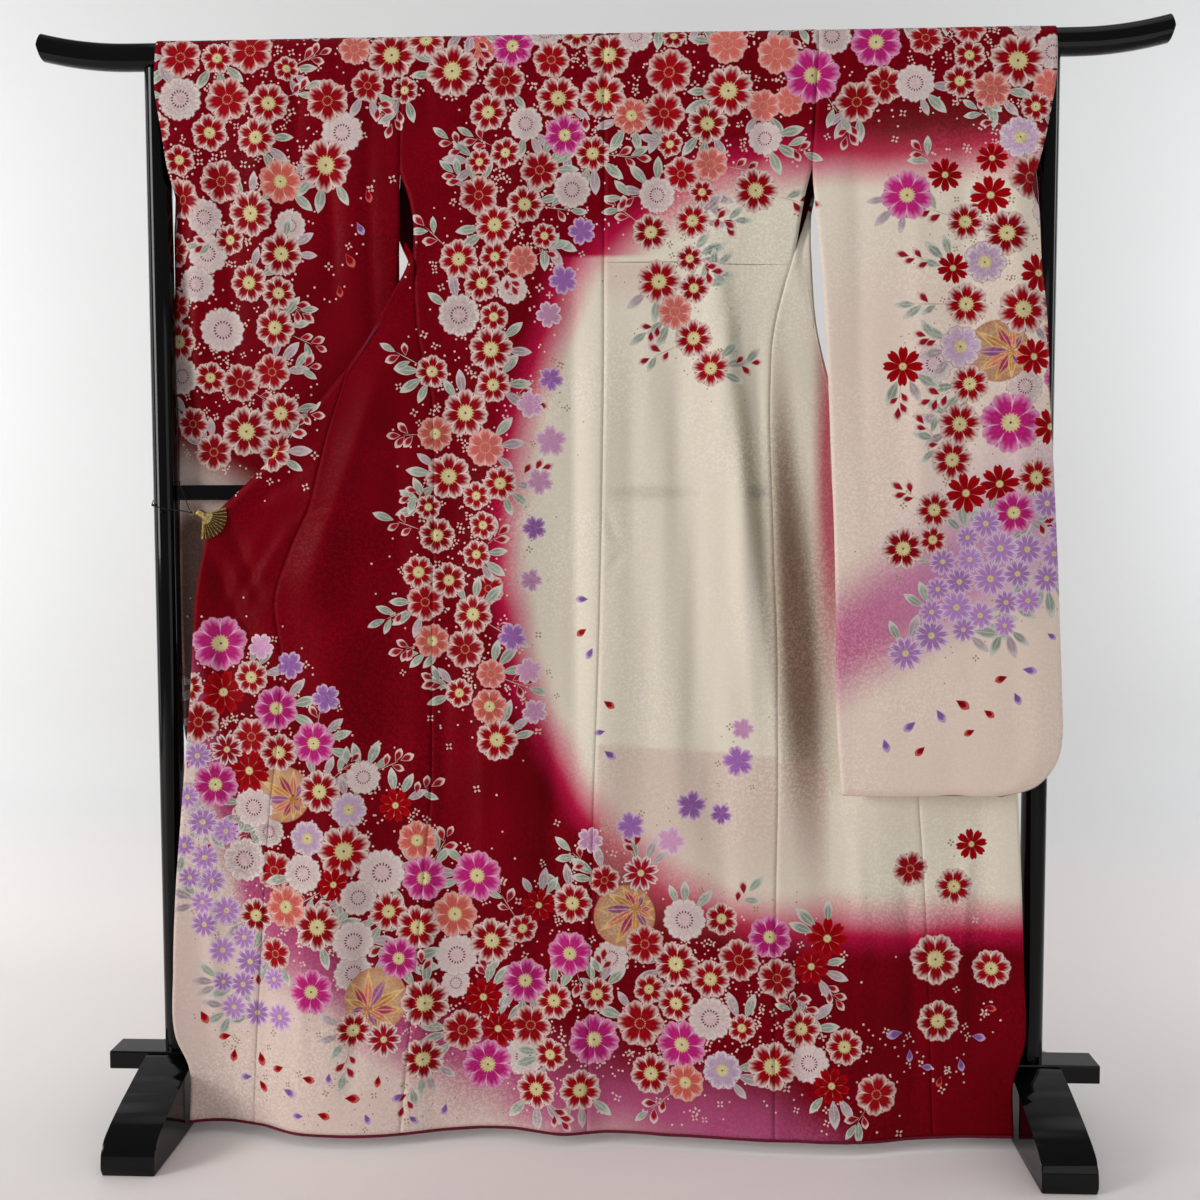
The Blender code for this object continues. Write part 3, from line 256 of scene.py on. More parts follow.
LEFT_SLEEVE_FAR = [
    Layer(1.6255, -0.2865, 0.0177, -0.6560, 0.0177), Layer(1.598, -0.2865, 0.0206, -0.6560, 0.0225),
    Layer(1.50, -0.2960, 0.0310, -0.6460, 0.0265), Layer(1.42, -0.3020, 0.0320, -0.6372, 0.0240),
    Layer(1.395, -0.3025, 0.0320, -0.6398, 0.0220), Layer(1.32, -0.3035, 0.0360, -0.6432, 0.0240),
    Layer(1.24, -0.3050, 0.0380, -0.6475, 0.0290), Layer(1.13, -0.3060, 0.0380, -0.6500, 0.0330),
    Layer(1.02, -0.3070, 0.0380, -0.6510, 0.0370), Layer(0.90, -0.3080, 0.0380, -0.6515, 0.0380),
    Layer(0.77, -0.3100, 0.0380, -0.6515, 0.0380), Layer(0.66, -0.3100, 0.0370, -0.6505, 0.0370),
    Layer(SLEEVE_BOTTOM, -0.3100, 0.0340, -0.6500, 0.0340),
]
RIGHT_SLEEVE_NEAR = [
    Layer(1.6255, 0.3265, -0.0177, 0.6690, -0.0177), Layer(1.57, 0.3235, -0.0215, 0.6660, -0.0270),
    Layer(1.51, 0.3205, -0.0260, 0.6550, -0.0360), Layer(1.445, 0.3170, -0.0295, 0.6390, -0.0450),
    Layer(1.39, 0.3195, -0.0420, 0.6390, -0.0520), Layer(1.32, 0.3250, -0.0560, 0.6400, -0.0590),
    Layer(1.24, 0.3310, -0.0640, 0.6480, -0.0640), Layer(1.13, 0.3370, -0.0680, 0.6540, -0.0670),
    Layer(1.02, 0.3420, -0.0710, 0.6600, -0.0690), Layer(0.90, 0.3470, -0.0740, 0.6670, -0.0720),
    Layer(0.77, 0.3500, -0.0770, 0.6730, -0.0750), Layer(0.66, 0.3510, -0.0790, 0.6780, -0.0770),
    Layer(SLEEVE_BOTTOM, 0.3600, -0.0810, 0.6780, -0.0790),
]
RIGHT_SLEEVE_FAR = [
    Layer(1.6255, 0.3265, 0.0177, 0.6690, 0.0177), Layer(1.598, 0.3235, 0.0206, 0.6400, 0.0190),
    Layer(1.50, 0.3260, 0.0310, 0.6330, 0.0050), Layer(1.43, 0.3285, 0.0320, 0.6345, -0.0270),
    Layer(1.40, 0.3310, 0.0260, 0.6390, -0.0330), Layer(1.32, 0.3390, 0.0060, 0.6400, -0.0420),
    Layer(1.24, 0.3420, -0.0200, 0.6480, -0.0490), Layer(1.13, 0.3420, -0.0460, 0.6540, -0.0520),
    Layer(1.02, 0.3430, -0.0530, 0.6600, -0.0540), Layer(0.90, 0.3530, -0.0550, 0.6670, -0.0550),
    Layer(0.77, 0.3580, -0.0580, 0.6730, -0.0580), Layer(0.66, 0.3590, -0.0600, 0.6780, -0.0600),
    Layer(SLEEVE_BOTTOM, 0.3640, -0.0650, 0.6780, -0.0650),
]
SLEEVE_LOW_ROWS = (1.37, 1.30, 1.22, 1.12, 1.01, 0.90, 0.78, 0.66)
SLEEVE_FAR_ROWS = (SHOULDER_Z, 1.50)
SLEEVE_CORNER_ROWS = (0.085, 0.055, 0.030, 0.012, 0.0)

# Collar: where it is sewn on, and its free edge, from the middle of the back neck to the collar's end
Band = namedtuple("Band", "sewn free")
LEFT_COLLAR = [
    Band((0.0130, 0.0196, 1.6168), (0.0130, 0.0290, 1.5640)),
    Band((-0.0300, 0.0197, 1.6130), (-0.0180, 0.0295, 1.5610)),
    Band((-0.0620, 0.0203, 1.6040), (-0.0330, 0.0310, 1.5560)),
    Band((-0.0792, 0.0214, 1.5900), (-0.0370, 0.0330, 1.5490)),
    Band((-0.0860, 0.0270, 1.5500), (-0.0380, 0.0360, 1.5280)),
    Band((-0.0975, 0.0330, 1.5000), (-0.0470, 0.0400, 1.4800)),
    Band((-0.1345, 0.0340, 1.3995), (-0.0840, 0.0410, 1.3720)),
    Band((-0.1745, 0.0270, 1.3095), (-0.1270, 0.0330, 1.2720)),
    Band((-0.2317, 0.0040, 1.2345), (-0.1900, 0.0090, 1.1900)),
    Band((-0.3200, -0.0041, 1.1500), (-0.2740, -0.0040, 1.1020)),
    Band((-0.4000, -0.0114, 1.0750), (-0.3540, -0.0140, 1.0200)),
    Band((-0.4800, -0.0189, 0.9996), (-0.4330, -0.0185, 0.9400)),
    Band((-0.5520, -0.0255, 0.9320), (-0.5040, -0.0215, 0.8680)),
]
RIGHT_COLLAR = [
    Band((0.0136, 0.0196, 1.6168), (0.0136, 0.0290, 1.5640)),
    Band((0.0560, 0.0197, 1.6130), (0.0440, 0.0295, 1.5610)),
    Band((0.0880, 0.0203, 1.6040), (0.0590, 0.0310, 1.5560)),
    Band((0.1052, 0.0214, 1.5900), (0.0630, 0.0330, 1.5490)),
    Band((0.1120, 0.0270, 1.5500), (0.0640, 0.0360, 1.5280)),
    Band((0.1235, 0.0330, 1.5000), (0.0730, 0.0400, 1.4800)),
    Band((0.1595, 0.0340, 1.3995), (0.1090, 0.0410, 1.3720)),
    Band((0.1995, 0.0270, 1.3095), (0.1500, 0.0330, 1.2850)),
    Band((0.2497, 0.0040, 1.1300), (0.2020, 0.0085, 1.0930)),
    Band((0.2583, 0.0032, 1.1215), (0.2115, 0.0072, 1.0795)),
    Band((0.3430, -0.0045, 1.0660), (0.3090, -0.0118, 1.0130)),
    Band((0.4240, -0.0118, 1.0135), (0.3900, -0.0140, 0.9600)),
    Band((0.4990, -0.0185, 0.9646), (0.4650, -0.0180, 0.9110)),
    Band((0.5610, -0.0241, 0.9240), (0.5270, -0.0205, 0.8680)),
]
OVER_COLLAR_ROWS = 8
OVER_COLLAR_OFFSET = 0.0032

# Sizes of the stand and the clip
STAND_NODES = ("top_bar", "post_left", "post_right", "crossbar", "base_beam", "foot_left", "foot_right")
BAR_REACH = 0.838
BAR_BEND_START = 0.70
BAR_TIP_RISE = 0.0165
BAR_TIP_RINGS = 10
POST_X = 0.66
POST_RADIUS = 0.0185
ROUND_SIDES = 48
BEAM_BOTTOM = 0.0802
BEAM_TOP = 0.1082
BEAM_HALF_DEPTH = 0.0257
JOINT_GAP = 0.0003
FOOT_HALF_WIDTH = 0.0389
FOOT_TOP_LINE = [
    (BEAM_HALF_DEPTH + JOINT_GAP, 0.1050), (0.058, 0.0965), (0.100, 0.0830), (0.143, 0.0680), (0.179, 0.0520),
    (0.194, 0.0400), (0.1995, 0.0260), (0.2010, 0.0050),
]
FOOT_TOP_STEPS = 44
FOOT_TOE = (0.1985, 0.0)
FOOT_ARCH = [(0.115, 0.0), (0.092, 0.006), (0.0, 0.006)]
FOOT_EDGE = 0.0030
FAN_PIVOT = (-0.5880, -0.0430, 0.9390)
FAN_RADIUS = 0.0355
FAN_HUB_RADIUS = 0.0140
FAN_START_DEG = 16.0
FAN_SWEEP_DEG = -110.0
FAN_RIBS = 11
FAN_STEPS = 40
FAN_RIB_HALF = 0.00105
FAN_GUARD_HALF = 0.0019
FAN_RIB_WALL = 0.0010
FAN_LEAF_WALL = 0.0008
JAW_LINE = [
    (0.0060, -0.0408, -0.0060), (-0.0080, -0.0408, 0.0040), (-0.0118, -0.0368, 0.0050),
    (-0.0118, -0.0290, 0.0050), (-0.0080, -0.0250, 0.0040), (0.0220, -0.0258, -0.0130),
]
JAW_HALF = (0.0019, 0.0032)
JAW_HALF_WALL = 0.0006
KNOTS = [(-0.6545, -0.0213, 0.9490), (-0.6595, -0.0216, 0.9440), (-0.6755, -0.0150, 0.9545)]
KNOT_RADIUS = 0.0021

# Hem roll of the lining, which shows under the cloth's lower edge
HEM_ROLL_HEIGHT = 0.0050
HEM_ROLL_DEPTH = 0.0030
HEM_ROLL_RINGS = 420
HEM_ROLL_SIDES = 10

# Grid steps of the fine cloth, and its wall
STEP = 0.0058
SHELL = 0.0012
PRINT_SIDE = (0, -1, 0)

# Creases on the hanging cloth: a line, its half width, its bow, and its depth away from the viewer
Crease = namedtuple("Crease", "x_start z_start x_end z_end width bow depth")
BODY_CREASES = [
    Crease(-0.555, 0.925, -0.500, 0.800, 0.0120, 0.000, 0.0070),
    Crease(-0.588, 0.900, -0.470, 0.690, 0.0150, 0.012, 0.0080),
    Crease(-0.535, 0.950, -0.425, 1.020, 0.0150, 0.006, 0.0050),
    Crease(-0.530, 0.930, -0.330, 0.940, 0.0160, -0.010, 0.0045),
    Crease(-0.318, 1.150, -0.440, 0.800, 0.0270, 0.000, -0.0120),
    Crease(-0.560, 0.900, -0.555, 0.640, 0.0140, 0.008, 0.0040),
    Crease(-0.290, 1.120, -0.285, 0.780, 0.0200, 0.012, 0.0045),
    Crease(0.014, 0.955, 0.040, 0.885, 0.0060, 0.003, 0.0030),
    Crease(0.040, 0.885, 0.018, 0.850, 0.0060, 0.000, 0.0026),
    Crease(-0.033, 1.330, -0.028, 0.420, 0.0220, 0.003, 0.0135),
    Crease(0.048, 1.160, 0.058, 0.800, 0.0180, 0.000, 0.0030),
    Crease(0.214, 1.060, 0.242, 0.560, 0.0130, 0.006, -0.0045),
    Crease(0.236, 1.200, 0.256, 0.700, 0.0120, 0.000, 0.0060),
    Crease(0.262, 1.060, 0.284, 0.520, 0.0150, 0.000, -0.0070),
    Crease(0.190, 0.640, 0.198, 0.240, 0.0200, 0.004, 0.0050),
    Crease(-0.250, 0.420, -0.262, 0.040, 0.0120, 0.004, -0.0055),
    Crease(-0.062, 0.640, -0.064, 0.300, 0.0190, 0.004, 0.0085),
    Crease(-0.090, 0.420, -0.075, 0.050, 0.0160, 0.006, 0.0050),
    Crease(-0.228, 0.720, -0.230, 0.460, 0.0150, 0.003, 0.0065),
    Crease(-0.176, 0.880, -0.170, 0.360, 0.0130, -0.004, -0.0040),
    Crease(-0.493, 0.400, -0.504, 0.050, 0.0140, 0.003, 0.0060),
    Crease(-0.585, 0.380, -0.570, 0.120, 0.0130, 0.004, -0.0050),
    Crease(-0.345, 0.330, -0.372, 0.045, 0.0150, -0.006, 0.0060),
    Crease(-0.425, 0.420, -0.436, 0.100, 0.0120, 0.004, -0.0045),
    Crease(0.105, 0.360, 0.118, 0.050, 0.0150, 0.004, 0.0050),
    Crease(0.300, 0.330, 0.312, 0.050, 0.0140, 0.004, 0.0055),
    Crease(0.385, 0.500, 0.392, 0.120, 0.0150, -0.004, -0.0045),
    Crease(0.455, 0.420, 0.470, 0.060, 0.0130, -0.005, 0.0055),
    Crease(0.555, 0.480, 0.540, 0.100, 0.0120, 0.005, -0.0050),
    Crease(-0.255, 1.592, -0.244, 1.500, 0.0090, 0.000, 0.0035),
    Crease(-0.045, 1.598, -0.038, 1.500, 0.0080, 0.000, 0.0035),
    Crease(0.012, 1.600, 0.020, 1.500, 0.0070, 0.000, 0.0030),
    Crease(-0.180, 1.580, -0.170, 1.330, 0.0150, 0.006, 0.0045),
    Crease(-0.112, 1.560, -0.118, 1.260, 0.0130, -0.004, -0.0040),
    Crease(0.105, 1.560, 0.085, 1.350, 0.0140, -0.005, 0.0040),
    Crease(0.172, 1.590, 0.178, 1.400, 0.0100, 0.003, 0.0035),
    Crease(0.255, 1.580, 0.240, 1.380, 0.0130, 0.004, 0.0045),
]
LEFT_SLEEVE_CREASES = [
    Crease(-0.330, 1.590, -0.336, 1.150, 0.0140, 0.006, 0.0050),
    Crease(-0.445, 1.610, -0.448, 1.460, 0.0120, -0.002, 0.0050),
    Crease(-0.402, 1.480, -0.404, 1.250, 0.0130, -0.008, 0.0050),
    Crease(-0.500, 1.590, -0.480, 1.120, 0.0170, 0.006, -0.0040),
    Crease(-0.560, 1.570, -0.545, 1.060, 0.0160, 0.004, 0.0040),
    Crease(-0.610, 1.500, -0.604, 1.040, 0.0110, 0.003, -0.0035),
]
RIGHT_SLEEVE_CREASES = [
    Crease(0.380, 1.580, 0.396, 0.900, 0.0180, 0.006, 0.0035),
    Crease(0.455, 1.560, 0.470, 0.640, 0.0200, -0.006, -0.0030),
    Crease(0.535, 1.590, 0.545, 0.700, 0.0180, 0.008, 0.0034),
    Crease(0.610, 1.580, 0.618, 0.760, 0.0140, 0.003, -0.0034),
]
FAR_CREASES = [
    Crease(-0.570, 1.540, -0.585, 0.640, 0.0180, 0.006, -0.0026),
    Crease(-0.430, 1.560, -0.418, 0.700, 0.0200, -0.008, 0.0026),
    Crease(0.430, 1.540, 0.418, 0.660, 0.0180, 0.006, -0.0026),
    Crease(0.570, 1.560, 0.585, 0.720, 0.0190, -0.007, 0.0026),
]
Wave = namedtuple("Wave", "along_x along_z height start")
CLOTH_WAVES = [
    Wave(7.3, 0.9, 0.00055, 0.4), Wave(-4.1, 2.3, 0.0005, 1.7), Wave(12.7, -1.6, 0.0003, 2.9),
    Wave(2.2, 5.1, 0.0003, 0.9), Wave(19.0, 3.1, 0.00014, 4.1),
]
PUCKER_WAVES = [Wave(31.0, 0.0, 0.0007, 0.6), Wave(47.0, 0.0, 0.0005, 2.0), Wave(13.0, 0.0, 0.0006, 1.1)]
PUCKER_RANGE = (1.53, 1.615)
PUCKER_END = (1.60, 1.632)
CALM_RANGE = (1.50, 1.60)
CALM_SHARE = 0.8
SEAM_WIDTH = 0.0045
SEAM_DEPTH = 0.0006
RIDGE_PLACE = 0.0075
RIDGE_HEIGHT = 0.0004
HEM_ROLL_WAVES = [Wave(3.1, 0.0, 0.025, 0.0), Wave(8.3, 0.0, 0.020, 1.0), Wave(21.0, 0.0, 0.012, 2.0)]


def srgb(red, green, blue):
    shares = (red / 255, green / 255, blue / 255)
    return tuple(c / 12.92 if c <= 0.04045 else ((c + 0.055) / 1.055) ** 2.4 for c in shares)


# Dye, and shade painted into it
RED = srgb(122, 0, 18)
RED_DEEP = srgb(98, 0, 9)
MOON_EDGE = srgb(188, 20, 70)
MOON_PALE = srgb(216, 142, 150)
CREAM = srgb(236, 226, 207)
VIOLET_PINK = srgb(178, 80, 122)
CREAM_PINK = srgb(226, 203, 192)
SHOULDER_TURN = 1.66
MOON_X = 0.302
MOON_Z = 0.893
MOON_HALF_WIDTH = 0.452
MOON_HALF_HEIGHT = 0.582
TUCK_Z = 1.3155
TUCK_FADE = 0.20
TUCK_SHIFT = 0.045
DYE_WAVES = [
    Wave(5.1, 1.3, 0.008, 0.3), Wave(-2.3, 4.7, 0.008, 1.9), Wave(9.7, -6.1, 0.005, 0.8),
    Wave(1.1, 11.3, 0.004, 2.6),
]
Edge = namedtuple("Edge", "x z soft")
LOWER_EDGE = [
    Edge(-0.70, 0.73, 0.10), Edge(-0.605, 0.68, 0.10), Edge(-0.570, 0.55, 0.12), Edge(-0.520, 0.370, 0.12),
    Edge(-0.370, 0.238, 0.08), Edge(-0.220, 0.140, 0.08), Edge(-0.054, 0.090, 0.10), Edge(0.156, 0.055, 0.10),
    Edge(0.300, 0.030, 0.10), Edge(0.380, -0.02, 0.08), Edge(0.480, -0.20, 0.05),
]
Wash = namedtuple("Wash", "piece x s half_along half_aside tilt soft strength colour")
WASHES = [
    # Pinker ground on the right sleeve, with a violet-pink band across it
    Wash("right_sleeve", 0.500, 0.800, 0.560, 0.400, 90.0, 0.35, 0.42, srgb(244, 208, 198)),
    Wash("right_sleeve", 0.420, 0.790, 0.260, 0.062, 33.6, 0.75, 0.88, srgb(196, 96, 144)),
    Wash("right_sleeve", 0.625, 0.930, 0.170, 0.085, 33.6, 0.85, 0.60, srgb(190, 146, 190)),
    # Painted shade: darker lengths where the right front hangs in its own shade, and in a fold by the side
    # seam
    Wash("body", 0.300, 0.745, 0.250, 0.034, 94.0, 0.60, 0.80, srgb(126, 84, 60)),
    Wash("body", 0.276, 0.985, 0.170, 0.016, 92.0, 0.80, 0.55, srgb(132, 104, 82)),
    Wash("body", 0.228, 0.990, 0.260, 0.011, 97.0, 0.80, 0.62, srgb(132, 120, 92)),
    # The left sleeve's strip in the shade of the post
    Wash("left_sleeve", -0.625, 0.700, 0.250, 0.060, 90.0, 0.10, 0.90, srgb(96, 62, 52)),
    # A deep pink strip on the right front, beside the sleeve
    Wash("body", 0.345, 0.980, 0.240, 0.018, 91.0, 0.70, 0.85, srgb(186, 34, 82)),
    # Painted shade where the crossbar behind the thin cloth shows through it
    Wash("body", 0.080, 0.971, 0.056, 0.010, 0.0, 0.60, 0.22, srgb(126, 124, 112)),
    Wash("body", 0.237, 0.971, 0.014, 0.011, 0.0, 0.60, 0.42, srgb(120, 118, 106)),
]
# Lining that shows through the thin cloth, with a crisp top that slopes and a foot that fades
TINT_SOFT = 0.003
Tint = namedtuple("Tint", "x_start x_end s_start s_end fade strength colour")
TINTS = [
    Tint(0.004, 0.268, 0.597, 0.580, 0.30, 0.42, srgb(206, 166, 160)),
    Tint(0.268, 0.345, 0.580, 0.560, 0.30, 0.30, srgb(206, 166, 160)),
    Tint(0.013, 0.090, 1.310, 1.306, 0.075, 0.30, srgb(206, 160, 152)),
]

# Motifs. Five petals or more make a bloom, four a sparkle, two a leaf, petal, bud or stem, and none a disc.
# Base is a bloom's reach between petals, or a leaf's half width, as a share of the radius. Power is how
# narrow a bloom's petals are, or how much wider a leaf is at its tip. A centre over 0 is a pale yellow disc
# with stamens, and one under 0 a ring of dots.
Kind = namedtuple("Kind", "radius petals base power centre inner outer")
Motif = namedtuple("Motif", "x s radius turn petals base power centre inner outer")
SLOTS = 5
MOTIF_PAD = 0.012
NOTCH = 1.6
FULL_NOTCH = 0.9
BLOOM_SCALE = 1.17
FULL_BASE = 0.54
BACK_REACH = 0.90
RED_BLOOM = Kind(0.0305, 7, 0.58, 0.36, 0.31, srgb(146, 4, 18), srgb(228, 200, 192))
RED_DOUBLE = Kind(0.0290, 6, 0.60, 0.36, -0.20, srgb(150, 8, 20), srgb(224, 190, 182))
WHITE_BLOOM = Kind(0.0290, 9, 0.76, 0.46, -0.34, srgb(212, 190, 188), srgb(222, 208, 202))
LILAC_BLOOM = Kind(0.0280, 7, 0.62, 0.36, 0.29, srgb(190, 160, 188), srgb(222, 206, 206))
CORAL_BLOOM = Kind(0.0300, 7, 0.62, 0.36, 0.28, srgb(198, 92, 82), srgb(226, 164, 150))
CORAL_DOUBLE = Kind(0.0275, 7, 0.70, 0.45, -0.26, srgb(206, 104, 96), srgb(228, 168, 156))
PINK_BLOOM = Kind(0.0340, 7, 0.62, 0.36, 0.27, srgb(184, 34, 116), srgb(224, 140, 186))
COSMOS_RED = Kind(0.0275, 8, 0.42, 0.55, 0.17, srgb(146, 0, 8), srgb(170, 10, 20))
COSMOS_WHITE = Kind(0.0270, 8, 0.44, 0.55, 0.17, srgb(150, 14, 34), srgb(232, 218, 214))
DAISY = Kind(0.0205, 10, 0.48, 0.55, 0.17, srgb(176, 128, 188), srgb(222, 194, 218))
SAKURA = Kind(0.0190, 5, 0.50, 0.38, 0.0, srgb(156, 104, 172), srgb(212, 176, 206))
SAKURA_PALE = Kind(0.0185, 5, 0.50, 0.42, 0.0, srgb(204, 150, 186), srgb(228, 202, 212))
SMALL_BLOOM = Kind(0.0220, 6, 0.58, 0.38, 0.28, srgb(146, 4, 18), srgb(228, 200, 192))
LEAF = Kind(0.0200, 2, 0.38, 0.15, 0.0, srgb(152, 160, 146), srgb(206, 204, 194))
LEAF_MAUVE = Kind(0.0190, 2, 0.38, 0.15, 0.0, srgb(172, 154, 158), srgb(206, 190, 192))
BUD = Kind(0.0110, 2, 0.50, 0.50, 0.0, srgb(150, 20, 34), srgb(226, 196, 190))
STEM = Kind(0.0200, 2, 0.034, 0.0, 0.0, srgb(184, 160, 150), srgb(198, 178, 168))
LOOSE_RED = Kind(0.0110, 2, 0.52, 0.60, 0.0, srgb(146, 2, 16), srgb(206, 92, 84))
LOOSE_VIOLET = Kind(0.0110, 2, 0.50, 0.60, 0.0, srgb(128, 92, 158), srgb(196, 164, 202))
SPARK_PALE = Kind(0.0060, 4, 0.14, 1.8, 0.0, srgb(222, 184, 176), srgb(228, 196, 188))
SPARK_DARK = Kind(0.0055, 4, 0.14, 1.8, 0.0, srgb(166, 140, 100), srgb(184, 162, 128))
DOT_PALE = Kind(0.0016, 0, 0.90, 1.0, 0.0, srgb(232, 196, 190), srgb(232, 196, 190))
DOT_DARK = Kind(0.0011, 0, 0.90, 1.0, 0.0, srgb(168, 132, 116), srgb(168, 132, 116))
TEMARI = Kind(0.0440, 0, 0.97, 1.0, 0.0, srgb(204, 160, 124), srgb(190, 134, 104))
TEMARI_GORES = [
    Kind(0.0200, 2, 0.30, -0.35, 0.0, srgb(176, 56, 104), srgb(218, 176, 108)),
    Kind(0.0200, 2, 0.26, -0.35, 0.0, srgb(196, 132, 74), srgb(226, 190, 130)),
    Kind(0.0200, 2, 0.30, -0.35, 0.0, srgb(150, 84, 140), srgb(214, 172, 120)),
    Kind(0.0200, 2, 0.26, -0.35, 0.0, srgb(212, 120, 100), srgb(224, 184, 128)),
]
TEMARI_STAR = Kind(0.0090, 8, 0.20, 1.60, 0.0, srgb(186, 122, 66), srgb(206, 164, 104))
TEMARI_TURNS = 12
TEMARI_HUB = 0.42
TEMARI_SEED = 11
TEMARI_PLACES = [(-0.470, 0.520), (-0.327, 0.217), (0.043, 0.341), (0.579, 1.171)]
# A faint darker line along the waist tuck: its seam, with the shade under the tuck's fold painted in
TUCK_LINE = Kind(0.0900, 2, 0.011, 0.0, 0.0, srgb(168, 148, 134), srgb(178, 158, 142))
TUCK_LINE_PLACES = [(0.098, 1.308), (0.200, 1.303)]
TUCK_LINE_TURN = 0.005
SPARK_HOLLOW = 0.36
PALE_GROUND = 0.20
BARE_SPECKS = 0.5

RED_MIX = [(RED_BLOOM, 5.5), (RED_DOUBLE, 1.6), (WHITE_BLOOM, 1.5), (CORAL_BLOOM, 0.2), (SMALL_BLOOM, 0.8)]
BAND_MIX = [
    (RED_BLOOM, 5), (RED_DOUBLE, 1.8), (WHITE_BLOOM, 1.0), (CORAL_BLOOM, 0.6), (CORAL_DOUBLE, 0.5),
    (PINK_BLOOM, 0.9), (SMALL_BLOOM, 0.6),
]
FALL_MIX = [
    (RED_BLOOM, 4.2), (RED_DOUBLE, 1.8), (WHITE_BLOOM, 0.9), (CORAL_BLOOM, 0.9), (CORAL_DOUBLE, 0.5),
    (SMALL_BLOOM, 1.4),
]
RIGHT_MIX = [
    (RED_BLOOM, 4.0), (RED_DOUBLE, 1.4), (WHITE_BLOOM, 0.5), (PINK_BLOOM, 3.4), (COSMOS_RED, 2.0),
    (CORAL_BLOOM, 0.6), (LILAC_BLOOM, 0.7), (SMALL_BLOOM, 0.3),
]
LOW_MIX = [
    (RED_BLOOM, 4.4), (RED_DOUBLE, 1.7), (WHITE_BLOOM, 1.2), (LILAC_BLOOM, 0.8), (PINK_BLOOM, 3.2),
    (COSMOS_RED, 0.7), (CORAL_BLOOM, 0.5), (CORAL_DOUBLE, 0.3), (COSMOS_WHITE, 0.4), (SMALL_BLOOM, 0.9),
]
LEFT_LOW_MIX = [
    (RED_BLOOM, 3.0), (RED_DOUBLE, 1.0), (WHITE_BLOOM, 1.2), (LILAC_BLOOM, 1.0), (PINK_BLOOM, 5.0),
    (COSMOS_RED, 1.7), (CORAL_BLOOM, 0.9), (COSMOS_WHITE, 0.6), (SMALL_BLOOM, 0.5),
]
LOOSE_BLOOMS = [(RED_BLOOM, 1.4), (RED_DOUBLE, 1)]
DAISY_MIX = [(DAISY, 1)]
SAKURA_MIX = [(SAKURA, 1), (SAKURA_PALE, 1)]
LOOSE_MIX = [(LOOSE_RED, 1), (LOOSE_VIOLET, 1.4)]
BEHIND_MIX = [(WHITE_BLOOM, 3), (CORAL_DOUBLE, 0.5), (RED_DOUBLE, 0.9)]

# How much motifs of a kind vary, and the shares of green leaves, buds and sparkles
SIZE_SPREAD = (0.86, 1.12)
SHADE_SPREAD = (0.82, 1.12)
GREEN_LEAVES = 0.6
BUDS_ON_SPRIGS = 0.72
SPARKS_IN_SPECKS = 0.22

# Damask figure and crepe of the silk, with sheen and shade painted into the figure's colour
DAMASK_SCALE = 240.0
GLINT_SCALE = 4.2
CREPE_SCALE = 1400.0
DAMASK_PAINTED_SHEEN = 0.50
DAMASK_PAINTED_SHADE = 0.16

